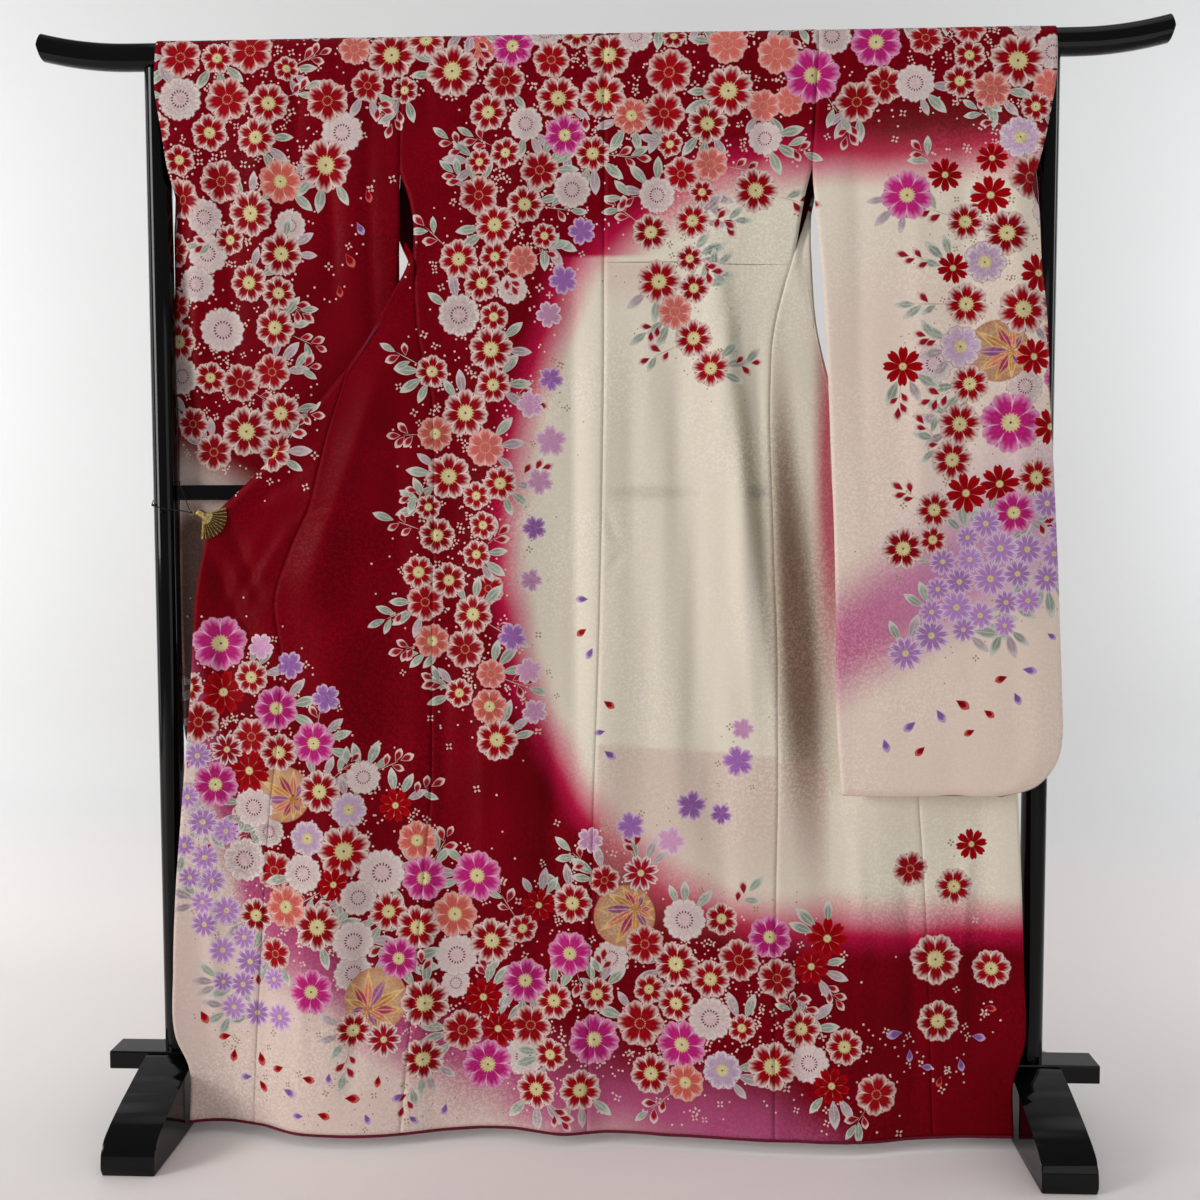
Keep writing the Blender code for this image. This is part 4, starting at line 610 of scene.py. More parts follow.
# Lines that the flowers follow: places with the half width there, then how many and how close
Guide = namedtuple("Guide", "points mixture size density apart leaves sprigs specks turned_over seed")
Layers = namedtuple("Layers", "specks stems behind leaves buds blooms")
BEHIND_APART = 0.72
BLOOM_SPACE = 0.0008
GUIDES = [
    Guide([(-0.555, 1.640, 0.085), (-0.550, 1.500, 0.090), (-0.545, 1.380, 0.085), (-0.560, 1.260, 0.075),
           (-0.555, 1.150, 0.075), (-0.550, 1.030, 0.060)], RED_MIX, 1.0, 1.0, 0.80, 1, 0.45, 5, True, 1),
    Guide([(-0.420, 1.590, 0.020), (-0.400, 1.520, 0.045), (-0.400, 1.450, 0.025)],
          RED_MIX, 1.0, 0.7, 0.85, 1, 0.9, 6, True, 2),
    Guide([(-0.365, 1.600, 0.030), (-0.240, 1.600, 0.040), (-0.120, 1.580, 0.060), (0.020, 1.575, 0.075),
           (0.150, 1.570, 0.070), (0.300, 1.590, 0.055), (0.440, 1.585, 0.050), (0.560, 1.595, 0.045),
           (0.665, 1.590, 0.045)], BAND_MIX, 1.0, 1.05, 0.78, 1, 0.4, 5, True, 3),
    Guide([(-0.040, 1.520, 0.060), (-0.130, 1.400, 0.062), (-0.180, 1.250, 0.055), (-0.184, 1.071, 0.052),
           (-0.210, 0.930, 0.050), (-0.213, 0.810, 0.050), (-0.180, 0.690, 0.030), (-0.150, 0.560, 0.008)],
          FALL_MIX, 0.95, 1.1, 0.80, 1, 0.5, 5, False, 4),
    Guide([(0.150, 1.520, 0.055), (0.120, 1.390, 0.035), (0.110, 1.300, 0.040), (0.140, 1.220, 0.030),
           (0.165, 1.150, 0.006)], FALL_MIX, 0.90, 1.0, 0.80, 1, 0.9, 5, False, 5),
    Guide([(0.205, 1.520, 0.035), (0.222, 1.440, 0.028), (0.232, 1.390, 0.008)],
          BAND_MIX, 0.95, 0.9, 0.82, 1, 0.8, 4, False, 6),
    Guide([(0.610, 1.560, 0.045), (0.622, 1.450, 0.050), (0.605, 1.330, 0.065), (0.585, 1.240, 0.078),
           (0.590, 1.130, 0.080), (0.600, 1.050, 0.075), (0.535, 0.960, 0.055)],
          RIGHT_MIX, 1.0, 1.4, 0.73, 1, 0.6, 4, True, 7),
    Guide([(0.430, 1.390, 0.010), (0.480, 1.400, 0.025), (0.560, 1.410, 0.030)],
          RIGHT_MIX, 1.0, 1.1, 0.80, 1, 0.9, 4, True, 8),
    Guide([(0.400, 1.170, 0.010), (0.450, 1.165, 0.028), (0.510, 1.150, 0.030)],
          RIGHT_MIX, 1.0, 1.1, 0.80, 1, 0.9, 4, True, 9),
    Guide([(0.450, 0.735, 0.012), (0.520, 0.800, 0.045), (0.590, 0.865, 0.070), (0.645, 0.960, 0.060)],
          DAISY_MIX, 1.0, 2.6, 0.70, 1, 0.0, 2, True, 10),
    Guide([(-0.575, 0.760, 0.025), (-0.560, 0.670, 0.055), (-0.500, 0.560, 0.075), (-0.420, 0.490, 0.080),
           (-0.330, 0.420, 0.075), (-0.255, 0.370, 0.065), (-0.170, 0.400, 0.030)],
          LEFT_LOW_MIX, 1.0, 1.2, 0.75, 1, 0.5, 5, False, 12),
    Guide([(-0.520, 0.480, 0.060), (-0.430, 0.330, 0.075), (-0.340, 0.220, 0.070), (-0.219, 0.165, 0.065),
           (-0.084, 0.150, 0.065), (0.040, 0.165, 0.060), (0.160, 0.140, 0.055), (0.300, 0.150, 0.045),
           (0.430, 0.095, 0.012)], LOW_MIX, 1.0, 1.1, 0.78, 1, 0.4, 5, False, 13),
    Guide([(-0.180, 0.280, 0.060), (-0.040, 0.310, 0.060), (0.080, 0.340, 0.060), (0.185, 0.290, 0.055),
           (0.274, 0.275, 0.040), (0.350, 0.300, 0.020)], LOW_MIX, 1.0, 1.1, 0.78, 1, 0.5, 5, False, 14),
    Guide([(-0.340, 0.330, 0.060), (-0.200, 0.250, 0.055), (-0.050, 0.235, 0.050), (0.080, 0.245, 0.050),
           (0.180, 0.200, 0.040)], LOW_MIX, 1.0, 1.1, 0.78, 1, 0.2, 4, False, 15),
    Guide([(-0.595, 0.680, 0.012), (-0.590, 0.540, 0.025), (-0.585, 0.400, 0.035), (-0.540, 0.280, 0.040),
           (-0.500, 0.160, 0.030)], DAISY_MIX, 1.0, 2.4, 0.74, 1, 0.0, 3, False, 16),
    Guide([(0.470, 0.440, 0.030), (0.505, 0.400, 0.030), (0.450, 0.355, 0.015)],
          LOOSE_BLOOMS, 0.90, 0.8, 1.15, 0, 0.0, 0, False, 17),
    Guide([(0.470, 0.280, 0.030), (0.545, 0.275, 0.035), (0.480, 0.215, 0.035)],
          LOOSE_BLOOMS, 1.05, 1.1, 1.08, 0, 0.0, 1, False, 18),
    Guide([(0.550, 0.455, 0.010), (0.575, 0.350, 0.012)],
          [(COSMOS_RED, 1)], 0.8, 1.0, 1.2, 0, 0.0, 1, False, 19),
    Guide([(-0.030, 1.400, 0.020), (-0.055, 1.280, 0.022), (-0.090, 1.140, 0.024), (-0.070, 1.050, 0.022),
           (-0.085, 0.960, 0.024), (-0.120, 0.860, 0.022), (-0.115, 0.740, 0.022), (-0.100, 0.640, 0.012)],
          SAKURA_MIX, 1.0, 1.3, 1.15, 0, 0.0, 3, False, 20),
    Guide([(0.215, 0.640, 0.006), (0.200, 0.545, 0.012), (0.150, 0.500, 0.030), (0.080, 0.465, 0.035),
           (-0.010, 0.400, 0.040)], SAKURA_MIX, 1.05, 1.5, 1.10, 0, 0.0, 2, False, 21),
    Guide([(0.420, 0.590, 0.015), (0.500, 0.640, 0.030), (0.600, 0.680, 0.030), (0.655, 0.780, 0.010)],
          LOOSE_MIX, 1.0, 0.9, 1.5, 0, 0.0, 0, True, 22),
    Guide([(-0.400, 1.260, 0.010), (-0.370, 1.330, 0.020), (-0.330, 1.420, 0.020)],
          LOOSE_MIX, 1.0, 1.0, 1.5, 0, 0.0, 1, True, 23),
    Guide([(-0.040, 0.860, 0.010), (0.020, 0.620, 0.020), (0.010, 0.560, 0.010)],
          LOOSE_MIX, 0.9, 0.5, 1.5, 0, 0.0, 0, False, 24),
    Guide([(-0.590, 0.190, 0.020), (-0.500, 0.090, 0.030), (-0.380, 0.070, 0.030), (-0.200, 0.060, 0.020)],
          LOOSE_MIX, 1.0, 0.9, 1.4, 0, 0.0, 2, False, 25),
    Guide([(0.430, 0.170, 0.030), (0.520, 0.140, 0.040), (0.560, 0.220, 0.030)],
          LOOSE_MIX, 1.0, 0.9, 1.5, 0, 0.0, 2, False, 26),
    Guide([(-0.578, 0.745, 0.022), (-0.510, 0.745, 0.020), (-0.465, 0.700, 0.018), (-0.395, 0.665, 0.012)],
          SAKURA_MIX, 1.05, 2.2, 0.95, 0, 0.0, 2, False, 27),
    Guide([(0.530, 0.930, 0.030), (0.466, 0.900, 0.035), (0.420, 0.862, 0.020)],
          RIGHT_MIX, 0.95, 1.3, 0.78, 1, 0.8, 4, True, 28),
]

# Camera
CAMERA_PLACE = (0.0855, -1.9525, 0.9227)
CAMERA_YAW = 0.04136
CAMERA_PITCH = 0.05794
CAMERA_ROLL = -0.00183
CAMERA_LENS = 38.69

# Studio: the sizes of a floor that curves up into a wall behind, then the world and the lights
SWEEP_HALF_WIDTH = 4.0
SWEEP_FRONT = -5.0
SWEEP_BACK = 1.1
SWEEP_RISE = 4.2
SWEEP_RADIUS = 0.5
SWEEP_STEPS = 10
WORLD_COLOUR = (0.93, 0.96, 1.0, 1.0)
WORLD_STRENGTH = 0.25
Light = namedtuple("Light", "name place target size power colour")
LIGHTS = [
    Light("key", (-5.0, -3.0, 2.10), (0.0, 0.0, 0.80), (1.9, 2.8), 175.0, (1.0, 0.99, 0.975)),
    Light("fill", (1.6, -2.5, 0.95), (0.1, 0.0, 0.75), (1.4, 1.6), 7.0, (1.0, 0.985, 0.965)),
    Light("top", (0.0, -0.6, 3.3), (0.0, 0.2, 0.5), (2.6, 1.6), 11.0, (1.0, 1.0, 1.0)),
    Light("wall_left", (-2.1, 0.1, 1.3), (-1.5, 1.1, 1.2), (0.8, 1.8), 8.0, (0.94, 0.97, 1.0)),
    Light("wall_right", (2.2, 0.1, 1.3), (1.6, 1.1, 1.4), (0.8, 1.6), 18.0, (0.95, 0.975, 1.0)),
]


def eased(places, values, at):
    """A smooth curve through tuples of values at rising places."""
    at = min(max(at, places[0]), places[-1])
    last = len(places) - 1
    i = max(k for k in range(last) if places[k] <= at)

    def slope(k, axis):
        low, high = max(k - 1, 0), min(k + 1, last)
        return (values[high][axis] - values[low][axis]) / (places[high] - places[low])

    span = places[i + 1] - places[i]
    u = (at - places[i]) / span
    out = []
    for axis in range(len(values[0])):
        a, b = values[i][axis], values[i + 1][axis]
        ta, tb = slope(i, axis) * span, slope(i + 1, axis) * span
        out.append(
            (2 * u**3 - 3 * u**2 + 1) * a + (u**3 - 2 * u**2 + u) * ta
            + (3 * u**2 - 2 * u**3) * b + (u**3 - u**2) * tb
        )
    return out


def level(table, z):
    """A table's value at a height. The table runs down, so its rows are turned round."""
    rows = table[::-1]
    return eased([row.z for row in rows], [(row.value,) for row in rows], z)[0]


def smooth_step(low, high, x):
    u = min(max((x - low) / (high - low), 0.0), 1.0)
    return u * u * (3 - 2 * u)


def fold_depth(x, z):
    """How far the largest folds push the hanging cloth away from the viewer."""
    depth = 0.0
    for fold in FOLDS:
        along = Vector((fold.x_bottom - fold.x_top, fold.z_bottom - fold.z_top))
        offset = Vector((x - fold.x_top, z - fold.z_top))
        share = offset.dot(along) / along.length_squared
        aside = abs(offset.x * along.y - offset.y * along.x) / along.length
        ends = smooth_step(-0.15, 0.25, share) * (1 - smooth_step(0.80, 1.15, share))
        depth += fold.depth * ends * math.exp(-((aside / fold.width) ** 2))
    return depth


def drape(x, z):
    """The depth of the hanging back and fronts at a place on them."""
    share = smooth_step(*RIGHT_BLEND, x)
    hang = level(HANG, z) * (1 - share) + level(HANG_RIGHT, z) * share
    swing = eased([s.x for s in HEM_SWING], [(s.value,) for s in HEM_SWING], x)[0]
    return hang + fold_depth(x, z) + swing * (1 - smooth_step(0.0, HEM_SWING_TOP, z))


def bar_section(angle, out):
    """A point of the bar's rounded section, moved out by an even distance."""
    c, s = math.cos(angle), math.sin(angle)
    return (
        (BAR_HALF_DEPTH + out) * math.copysign(abs(c) ** BAR_SQUARENESS, c),
        (BAR_HALF_HEIGHT + out) * math.copysign(abs(s) ** BAR_SQUARENESS, s),
    )


def over_bar(step):
    """Depth and height of the cloth on the bar: step 0 is before it and BAR_ARC_STEPS behind it."""
    y, z = bar_section(math.pi * (1 - step / BAR_ARC_STEPS), OVER_BAR_GAP)
    return y, BAR_Z + z


def drawn_in(rows, column):
    """Draws one edge of the rows in by half a seam gap, square to that edge."""
    beside = 1 if column == 0 else -2
    edge = [Vector(row[column]) for row in rows]
    for k, row in enumerate(rows):
        along = (edge[min(k + 1, len(rows) - 1)] - edge[max(k - 1, 0)]).normalized()
        inward = Vector(row[beside]) - edge[k]
        inward -= along * inward.dot(along)
        row[column] = edge[k] + inward.normalized() * min(0.5 * SEAM_GAP, 0.3 * inward.length)
    return rows


# Rows of points of each piece, as in the solids. Each function also says which row the print starts from:
# from it down the print follows the hanging cloth, and before it the print runs on over the bar or the fold.


def back_rows(side_table, shoulder_side):
    def across(start, end):
        return [start + (end - start) * k / BACK_CELLS for k in range(BACK_CELLS + 1)]

    shoulder = []
    for x in across(CENTRE_X, shoulder_side):
        reach = min(abs(x - CENTRE_X) / NECK_HALF_WIDTH, 1.0)
        shoulder.append((x, SHOULDER_Y - 0.0015 * (1 - reach**2), SHOULDER_Z + NECK_DROP * (1 - reach**2)))
    rows = [shoulder]
    for step in range(BAR_ARC_STEPS, -1, -1):
        depth, z = over_bar(step)
        rows.append([(x, depth, z) for x in across(CENTRE_X, level(side_table, BAR_Z))])
    for z in ARM_ROWS + GAP_ROWS + tuple(row.side for row in WING_ROWS):
        rows.append([(x, drape(x, z), z) for x in across(level(CENTRE_SEAM, z), level(side_table, z))])
    return drawn_in(drawn_in(rows, 0), -1), 1 + BAR_ARC_STEPS


def wing_rows(okumi_column, edge_column, side_table, okumi_table, edge_table):
    """For each wing row, its points on the side seam, the overlap seam and the free edge, as X and Z."""
    rows = []
    for row in WING_ROWS:
        okumi_z, edge_z = getattr(row, okumi_column), getattr(row, edge_column)
        rows.append((
            (level(side_table, row.side), row.side),
            (level(okumi_table, okumi_z), okumi_z),
            (level(edge_table, edge_z), edge_z),
        ))
    return rows


def spread_row(start, end, cells):
    row = []
    for k in range(cells + 1):
        t = k / cells
        x, z = start[0] + (end[0] - start[0]) * t, start[1] + (end[1] - start[1]) * t
        row.append((x, drape(x, z), z))
    return row


def front_rows(top_sections, wings):
    places = [k / FRONT_CELLS for k in range(FRONT_CELLS + 1)]
    rows = [[eased(SECTION_PLACES, section, t) for t in places] for section in top_sections]
    rows += [spread_row(side, okumi, FRONT_CELLS) for side, okumi, _ in wings]
    return drawn_in(drawn_in(rows, 0), -1), len(top_sections) - 2


def okumi_rows(top_sections, wings):
    places = [k / OKUMI_CELLS for k in range(OKUMI_CELLS + 1)]
    rows = [[eased(OKUMI_PLACES, section, t) for t in places] for section in top_sections]
    rows += [spread_row(okumi, edge, OKUMI_CELLS) for _, okumi, edge in wings]
    return drawn_in(rows, 0), len(top_sections) - 2


def layer_row(table, z):
    """A sleeve layer's row of points at a height, with the rounded outer corner at the bottom."""
    rows = table[::-1]
    inner_x, inner_y, outer_x, outer_y = eased([r.z for r in rows], [r[1:] for r in rows], z)
    above = z - SLEEVE_BOTTOM
    if above < SLEEVE_CORNER:
        pull = SLEEVE_CORNER - math.sqrt(SLEEVE_CORNER**2 - (SLEEVE_CORNER - above) ** 2)
        outer_x -= math.copysign(pull, outer_x)
    return [
        Vector((inner_x + (outer_x - inner_x) * t, inner_y + (outer_y - inner_y) * t, z))
        for t in (k / SLEEVE_CELLS for k in range(SLEEVE_CELLS + 1))
    ]


def sleeve_rows(near_table, far_table, closed_below):
    low = (closed_below,) + SLEEVE_LOW_ROWS + tuple(SLEEVE_BOTTOM + up for up in SLEEVE_CORNER_ROWS)
    near = [layer_row(near_table, z) for z in ARM_ROWS + low]
    far = [layer_row(far_table, z) for z in SLEEVE_FAR_ROWS + low]
    for near_row, far_row in zip(near[-len(low):], far[-len(low):]):
        bottom = near_row is near[-1]
        for column in range(len(near_row)) if bottom else (-1,):
            middle = (near_row[column] + far_row[column]) / 2
            near_row[column], far_row[column] = middle, middle.copy()
    arcs = []
    for step in range(BAR_ARC_STEPS + 1):
        depth, z = over_bar(step)
        arcs.append([Vector((p.x, depth, z)) for p in layer_row(near_table, BAR_Z)])
    return drawn_in(far[::-1] + arcs[::-1] + near, 0), len(far) + BAR_ARC_STEPS


def collar_rows(bands):
    rows = []
    for band in bands:
        sewn, free = Vector(band.sewn), Vector(band.free)
        start = COLLAR_SEAM / (free - sewn).length
        shares = [start + (1 - start) * k / COLLAR_CELLS for k in range(COLLAR_CELLS + 1)]
        rows.append([sewn.lerp(free, share) for share in shares])
    return rows


# Fine cloth


def smoothed(grid, axis, step):
    """Points along one axis of the grid at about an even step, on smooth curves through its points."""
    g = np.moveaxis(grid, axis, 0)
    chord = np.maximum(np.linalg.norm(np.diff(g, axis=0), axis=2).mean(axis=1), 1e-5)
    places = np.concatenate([[0.0], np.cumsum(chord)])
    counts = np.maximum(1, np.round(chord / step).astype(int))
    at = np.concatenate(
        [places[k] + chord[k] * np.arange(counts[k]) / counts[k] for k in range(len(chord))] + [places[-1:]]
    )
    rise = np.diff(g, axis=0) / chord[:, None, None]
    slopes = np.concatenate([rise[:1], rise[-1:]])
    if len(chord) > 1:
        before, after = chord[:-1, None, None], chord[1:, None, None]
        inside = (rise[:-1] * after + rise[1:] * before) / (before + after)
        slopes = np.concatenate([rise[:1], inside, rise[-1:]])
    i = np.clip(np.searchsorted(places, at, side="right") - 1, 0, len(chord) - 1)
    span = chord[i][:, None, None]
    u = ((at - places[i]) / chord[i])[:, None, None]
    out = (
        (2 * u**3 - 3 * u**2 + 1) * g[i] + (u**3 - 2 * u**2 + u) * span * slopes[i]
        + (3 * u**2 - 2 * u**3) * g[i + 1] + (u**3 - u**2) * span * slopes[i + 1]
    )
    return np.moveaxis(out, 0, axis)


def normals_of(grid):
    across = np.gradient(grid, axis=1)
    down = np.gradient(grid, axis=0)
    n = np.cross(across, down)
    length = np.linalg.norm(n, axis=2, keepdims=True)
    return n / np.maximum(length, 1e-12)


def step_between(low, high, x):
    u = np.clip((x - low) / (high - low), 0.0, 1.0)
    return u * u * (3 - 2 * u)


def crease_depth(table, x, z):
    """The sum of listed creases: each is a soft line whose depth fades at its ends."""
    depth = np.zeros_like(x)
    for c in table:
        ax, az = c.x_end - c.x_start, c.z_end - c.z_start
        length = math.hypot(ax, az)
        share = ((x - c.x_start) * ax + (z - c.z_start) * az) / length**2
        aside = ((x - c.x_start) * az - (z - c.z_start) * ax) / length
        bend = c.bow * 4 * share * (1 - share)
        ends = step_between(-0.12, 0.3, share) * (1 - step_between(0.6, 1.1, share))
        depth += c.depth * ends * np.exp(-np.abs((aside - bend) / c.width) ** 1.6)
    return depth


def waves(x, z, table):
    depth = np.zeros_like(x)
    for w in table:
        depth += w.height * np.sin(2 * math.pi * (x * w.along_x + z * w.along_z) + w.start)
    return depth


def shell(name, grid, wall, materials, print_row, face_side, both=False):
    """A thin closed cloth from a grid of points. The printed side looks towards face_side in the last row."""
    rows, columns = grid.shape[:2]
    n = normals_of(grid)
    sign = 1.0 if (n[-1].mean(axis=0) @ np.array(face_side)) > 0 else -1.0
    outer = grid + n * sign * wall / 2
    inner = grid - n * sign * wall / 2
    verts = np.concatenate([outer.reshape(-1, 3), inner.reshape(-1, 3)])
    index = np.arange(rows * columns).reshape(rows, columns)
    a, b, c, d = index[:-1, :-1], index[:-1, 1:], index[1:, 1:], index[1:, :-1]
    top = np.stack([a, b, c, d], axis=-1).reshape(-1, 4)
    if sign < 0:
        top = top[:, ::-1]
    under = top[:, ::-1] + rows * columns
    ring = np.concatenate([index[0, :-1], index[:-1, -1], index[-1, :0:-1], index[:0:-1, 0]])
    after = np.roll(ring, -1)
    rim = np.stack([after, ring, ring + rows * columns, after + rows * columns], axis=-1)
    if sign < 0:
        rim = rim[:, ::-1]
    faces = np.concatenate([top, under, rim])
    data = bpy.data.meshes.new(name)
    data.from_pydata(verts.tolist(), [], faces.tolist())
    for m in materials:
        data.materials.append(m)
    slots = np.zeros(len(faces), np.int32)
    slots[len(top):2 * len(top)] = 0 if both else 1
    data.polygons.foreach_set("material_index", slots)
    data.shade_smooth()
    obj = bpy.data.objects.new(name, data)
    bpy.context.scene.collection.objects.link(obj)

    # Print coordinates: X, and the height, which runs on over the bar or the fold as the cloth's length
    x, s = grid[..., 0].copy(), grid[..., 2].copy()
    runs = np.linalg.norm(np.diff(grid, axis=0), axis=2)
    for k in range(print_row - 1, -1, -1):
        s[k] = s[k + 1] + runs[k]
    place = np.stack([x, s, np.zeros_like(x)], axis=-1).reshape(-1, 3)
    place = np.concatenate([place, place])
    attribute = data.attributes.new("print_place", "FLOAT_VECTOR", "POINT")
    attribute.data.foreach_set("vector", place.astype(np.float32).ravel())
    return obj, place, faces, len(top)


# The ground's dyed colours and its painted shade, by print place


def mixed(a, b, share):
    return a + (np.array(b) - a) * share[:, None]


def wash_share(x, s, w):
    """A soft elliptical share, 1 inside and 0 outside, turned by its tilt."""
    tilt = math.radians(w.tilt)
    dx, ds = x - w.x, s - w.s
    along = dx * math.cos(tilt) + ds * math.sin(tilt)
    aside = -dx * math.sin(tilt) + ds * math.cos(tilt)
    reach = np.sqrt((along / w.half_along) ** 2 + (aside / w.half_aside) ** 2)
    return w.strength * (1 - step_between(1 - w.soft, 1 + w.soft, reach))


def tint_share(x, s, t):
    """A share that starts crisply at a sloping top and fades downwards."""
    top = t.s_start + (t.s_end - t.s_start) * (x - t.x_start) / (t.x_end - t.x_start)
    starts = step_between(t.x_start - TINT_SOFT, t.x_start + TINT_SOFT, x)
    ends = 1 - step_between(t.x_end - TINT_SOFT, t.x_end + TINT_SOFT, x)
    across = starts * ends
    below = 1 - step_between(-TINT_SOFT, TINT_SOFT, s - top)
    return t.strength * across * below * step_between(-t.fade, -0.3 * t.fade, s - top)


def ground_dye_and_shade(place, piece="body"):
    """The dyed ground: red, a cream moon with a pink edge, cream at the lower left, and washes, some of
    painted shade.
    """
    x, s = place[:, 0], place[:, 1]
    turned = s > SHOULDER_TURN
    s = np.where(turned, 2 * SHOULDER_TURN - s, s)
    uneven = waves(x, s, DYE_WAVES)
    colour = np.tile(np.array(RED), (len(x), 1))
    colour = mixed(colour, RED_DEEP, np.clip(0.5 + uneven * 22, 0, 1) * 0.7)

    # Moon, open to the right. Under the waist tuck the body's print is shifted a little.
    shifted = s
    if piece == "body":
        shifted = s - TUCK_SHIFT * np.where(s < TUCK_Z, step_between(TUCK_Z - TUCK_FADE, TUCK_Z, s), 0.0)
    dx = np.minimum(x - MOON_X, 0.0) / MOON_HALF_WIDTH
    edge = np.sqrt(dx**2 + ((shifted - MOON_Z) / MOON_HALF_HEIGHT) ** 2) + uneven * 0.6
    colour = mixed(colour, MOON_EDGE, 1 - step_between(0.965, 1.055, edge))
    colour = mixed(colour, MOON_PALE, 1 - step_between(0.93, 0.99, edge))
    colour = mixed(colour, CREAM, 1 - step_between(0.87, 0.95, edge))

    # Lower left
    rows = LOWER_EDGE
    line = np.interp(x, [r.x for r in rows], [r.z for r in rows])
    soft = np.interp(x, [r.x for r in rows], [r.soft for r in rows])
    below = (line - s) / soft + uneven * 8
    colour = mixed(colour, VIOLET_PINK, step_between(-0.9, 0.3, below))
    colour = mixed(colour, CREAM_PINK, step_between(0.1, 1.3, below))
    if piece == "left_sleeve":
        colour = mixed(colour, CREAM_PINK, 1 - step_between(0.98, 1.06, s + (x + 0.62) * 0.5))
    # Washes over the ground: some are dyed colour, some painted shade
    for w in WASHES:
        if w.piece == piece:
            colour = mixed(colour, w.colour, np.where(turned, 0.0, wash_share(x, s, w)))
    if piece == "body":
        for t in TINTS:
            colour = mixed(colour, t.colour, tint_share(x, s, t))
    return colour


# Motifs


def motif(kind, x, s, turn, rng, size=1.0):
    radius = kind.radius * size * rng.uniform(*SIZE_SPREAD) * (BLOOM_SCALE if kind.petals > 4 else 1.0)
    shade = rng.uniform(*SHADE_SPREAD)
    inner = tuple(min(c * shade, 1.0) for c in kind.inner)
    return Motif(x, s, radius, turn, kind.petals, kind.base, kind.power, kind.centre, inner, kind.outer)


def picked(rng, mixture):
    """One of a mixture's kinds, by its share."""
    at = rng.uniform(0, sum(share for _, share in mixture))
    for kind, share in mixture:
        at -= share
        if at <= 0:
            return kind
    return mixture[-1][0]


def along_guide(points, t):
    """Place, half width and direction on a guide, at t from 0 to 1."""
    at = t * (len(points) - 1)
    x, z, half = eased(range(len(points)), points, at)
    x2, z2, _ = eased(range(len(points)), points, min(at + 0.02, len(points) - 1))
    x1, z1, _ = eased(range(len(points)), points, max(at - 0.02, 0))
    return x, z, max(half, 0.004), math.atan2(z2 - z1, x2 - x1)


def outward(kind, x, s, toward, reach, rng, size=1.0):
    """A motif that points away from a place, its near end at a reach from it."""
    made = motif(kind, 0.0, 0.0, -toward, rng, size)
    reach += made.radius
    return made._replace(x=x + math.cos(toward) * reach, s=s + math.sin(toward) * reach)


def leaf_cluster(rng, m, toward, layers):
    for side in (-0.60, 0.0, 0.60):
        kind = LEAF if rng.random() < GREEN_LEAVES else LEAF_MAUVE
        angle = toward + side + rng.uniform(-0.15, 0.15)
        layers.leaves.append(outward(kind, m.x, m.s, angle, m.radius * 0.72, rng, 1.0 - 0.15 * abs(side)))


def sprig(rng, m, toward, reach, layers):
    """A thin stem from a bloom, with buds and small leaves at its sides and one at its tip."""
    x, s = m.x + math.cos(toward) * m.radius * 0.8, m.s + math.sin(toward) * m.radius * 0.8
    middle_x, middle_s = x + math.cos(toward) * reach / 2, s + math.sin(toward) * reach / 2
    layers.stems.append(motif(STEM, middle_x, middle_s, -toward, rng, reach / 2 / STEM.radius))
    for k, share in enumerate((0.35, 0.60, 0.80, 1.0)):
        angle = toward + (-1) ** k * rng.uniform(0.55, 0.95) * (share < 0.95)
        kind = BUD if rng.random() < BUDS_ON_SPRIGS else LEAF
        bx, bs = x + math.cos(toward) * reach * share, s + math.sin(toward) * reach * share
        layers.buds.append(outward(kind, bx, bs, angle, 0.002, rng, 1.0 if kind is BUD else 0.75))


def speck(rng, m, layers):
    """A sparkle or a dot near a bloom, pale on red and dark on cream."""
    turn, reach = rng.uniform(0, 2 * math.pi), m.radius * (1.0 + 1.7 * rng.random() ** 1.4)
    x, s = m.x + math.cos(turn) * reach, m.s + math.sin(turn) * reach
    pale = ground_dye_and_shade(np.array([[x, s, 0.0]]))[0][1] > PALE_GROUND
    if pale and rng.random() < BARE_SPECKS:
        return
    if rng.random() < SPARKS_IN_SPECKS:
        kind = SPARK_DARK if pale else SPARK_PALE
    else:
        kind = DOT_DARK if pale else DOT_PALE
    layers.specks.append(motif(kind, x, s, rng.uniform(0, 3), rng))


def spread_blooms(guide, rng, mixture, tries, apart, size, placed):
    """Blooms scattered along a guide with no two nearer than a share of their radii."""
    made = []
    for _ in range(tries * 7):
        if len(made) >= tries:
            break
        x, z, half, turn = along_guide(guide.points, rng.random())
        off = half * (rng.uniform(-1, 1) + rng.uniform(-1, 1)) * 0.62
        bx, bs = x - math.sin(turn) * off, z + math.cos(turn) * off
        kind, spin = picked(rng, mixture), rng.uniform(0, math.pi)
        m = motif(kind, bx, bs, spin, rng, size * (1.08 - 0.22 * abs(off) / half))
        if any(math.dist((bx, bs), (o.x, o.s)) < apart * (m.radius + o.radius) for o in placed):
            continue
        placed.append(m)
        made.append((m, turn + math.copysign(math.pi / 2, off), abs(off) / half))
    return made


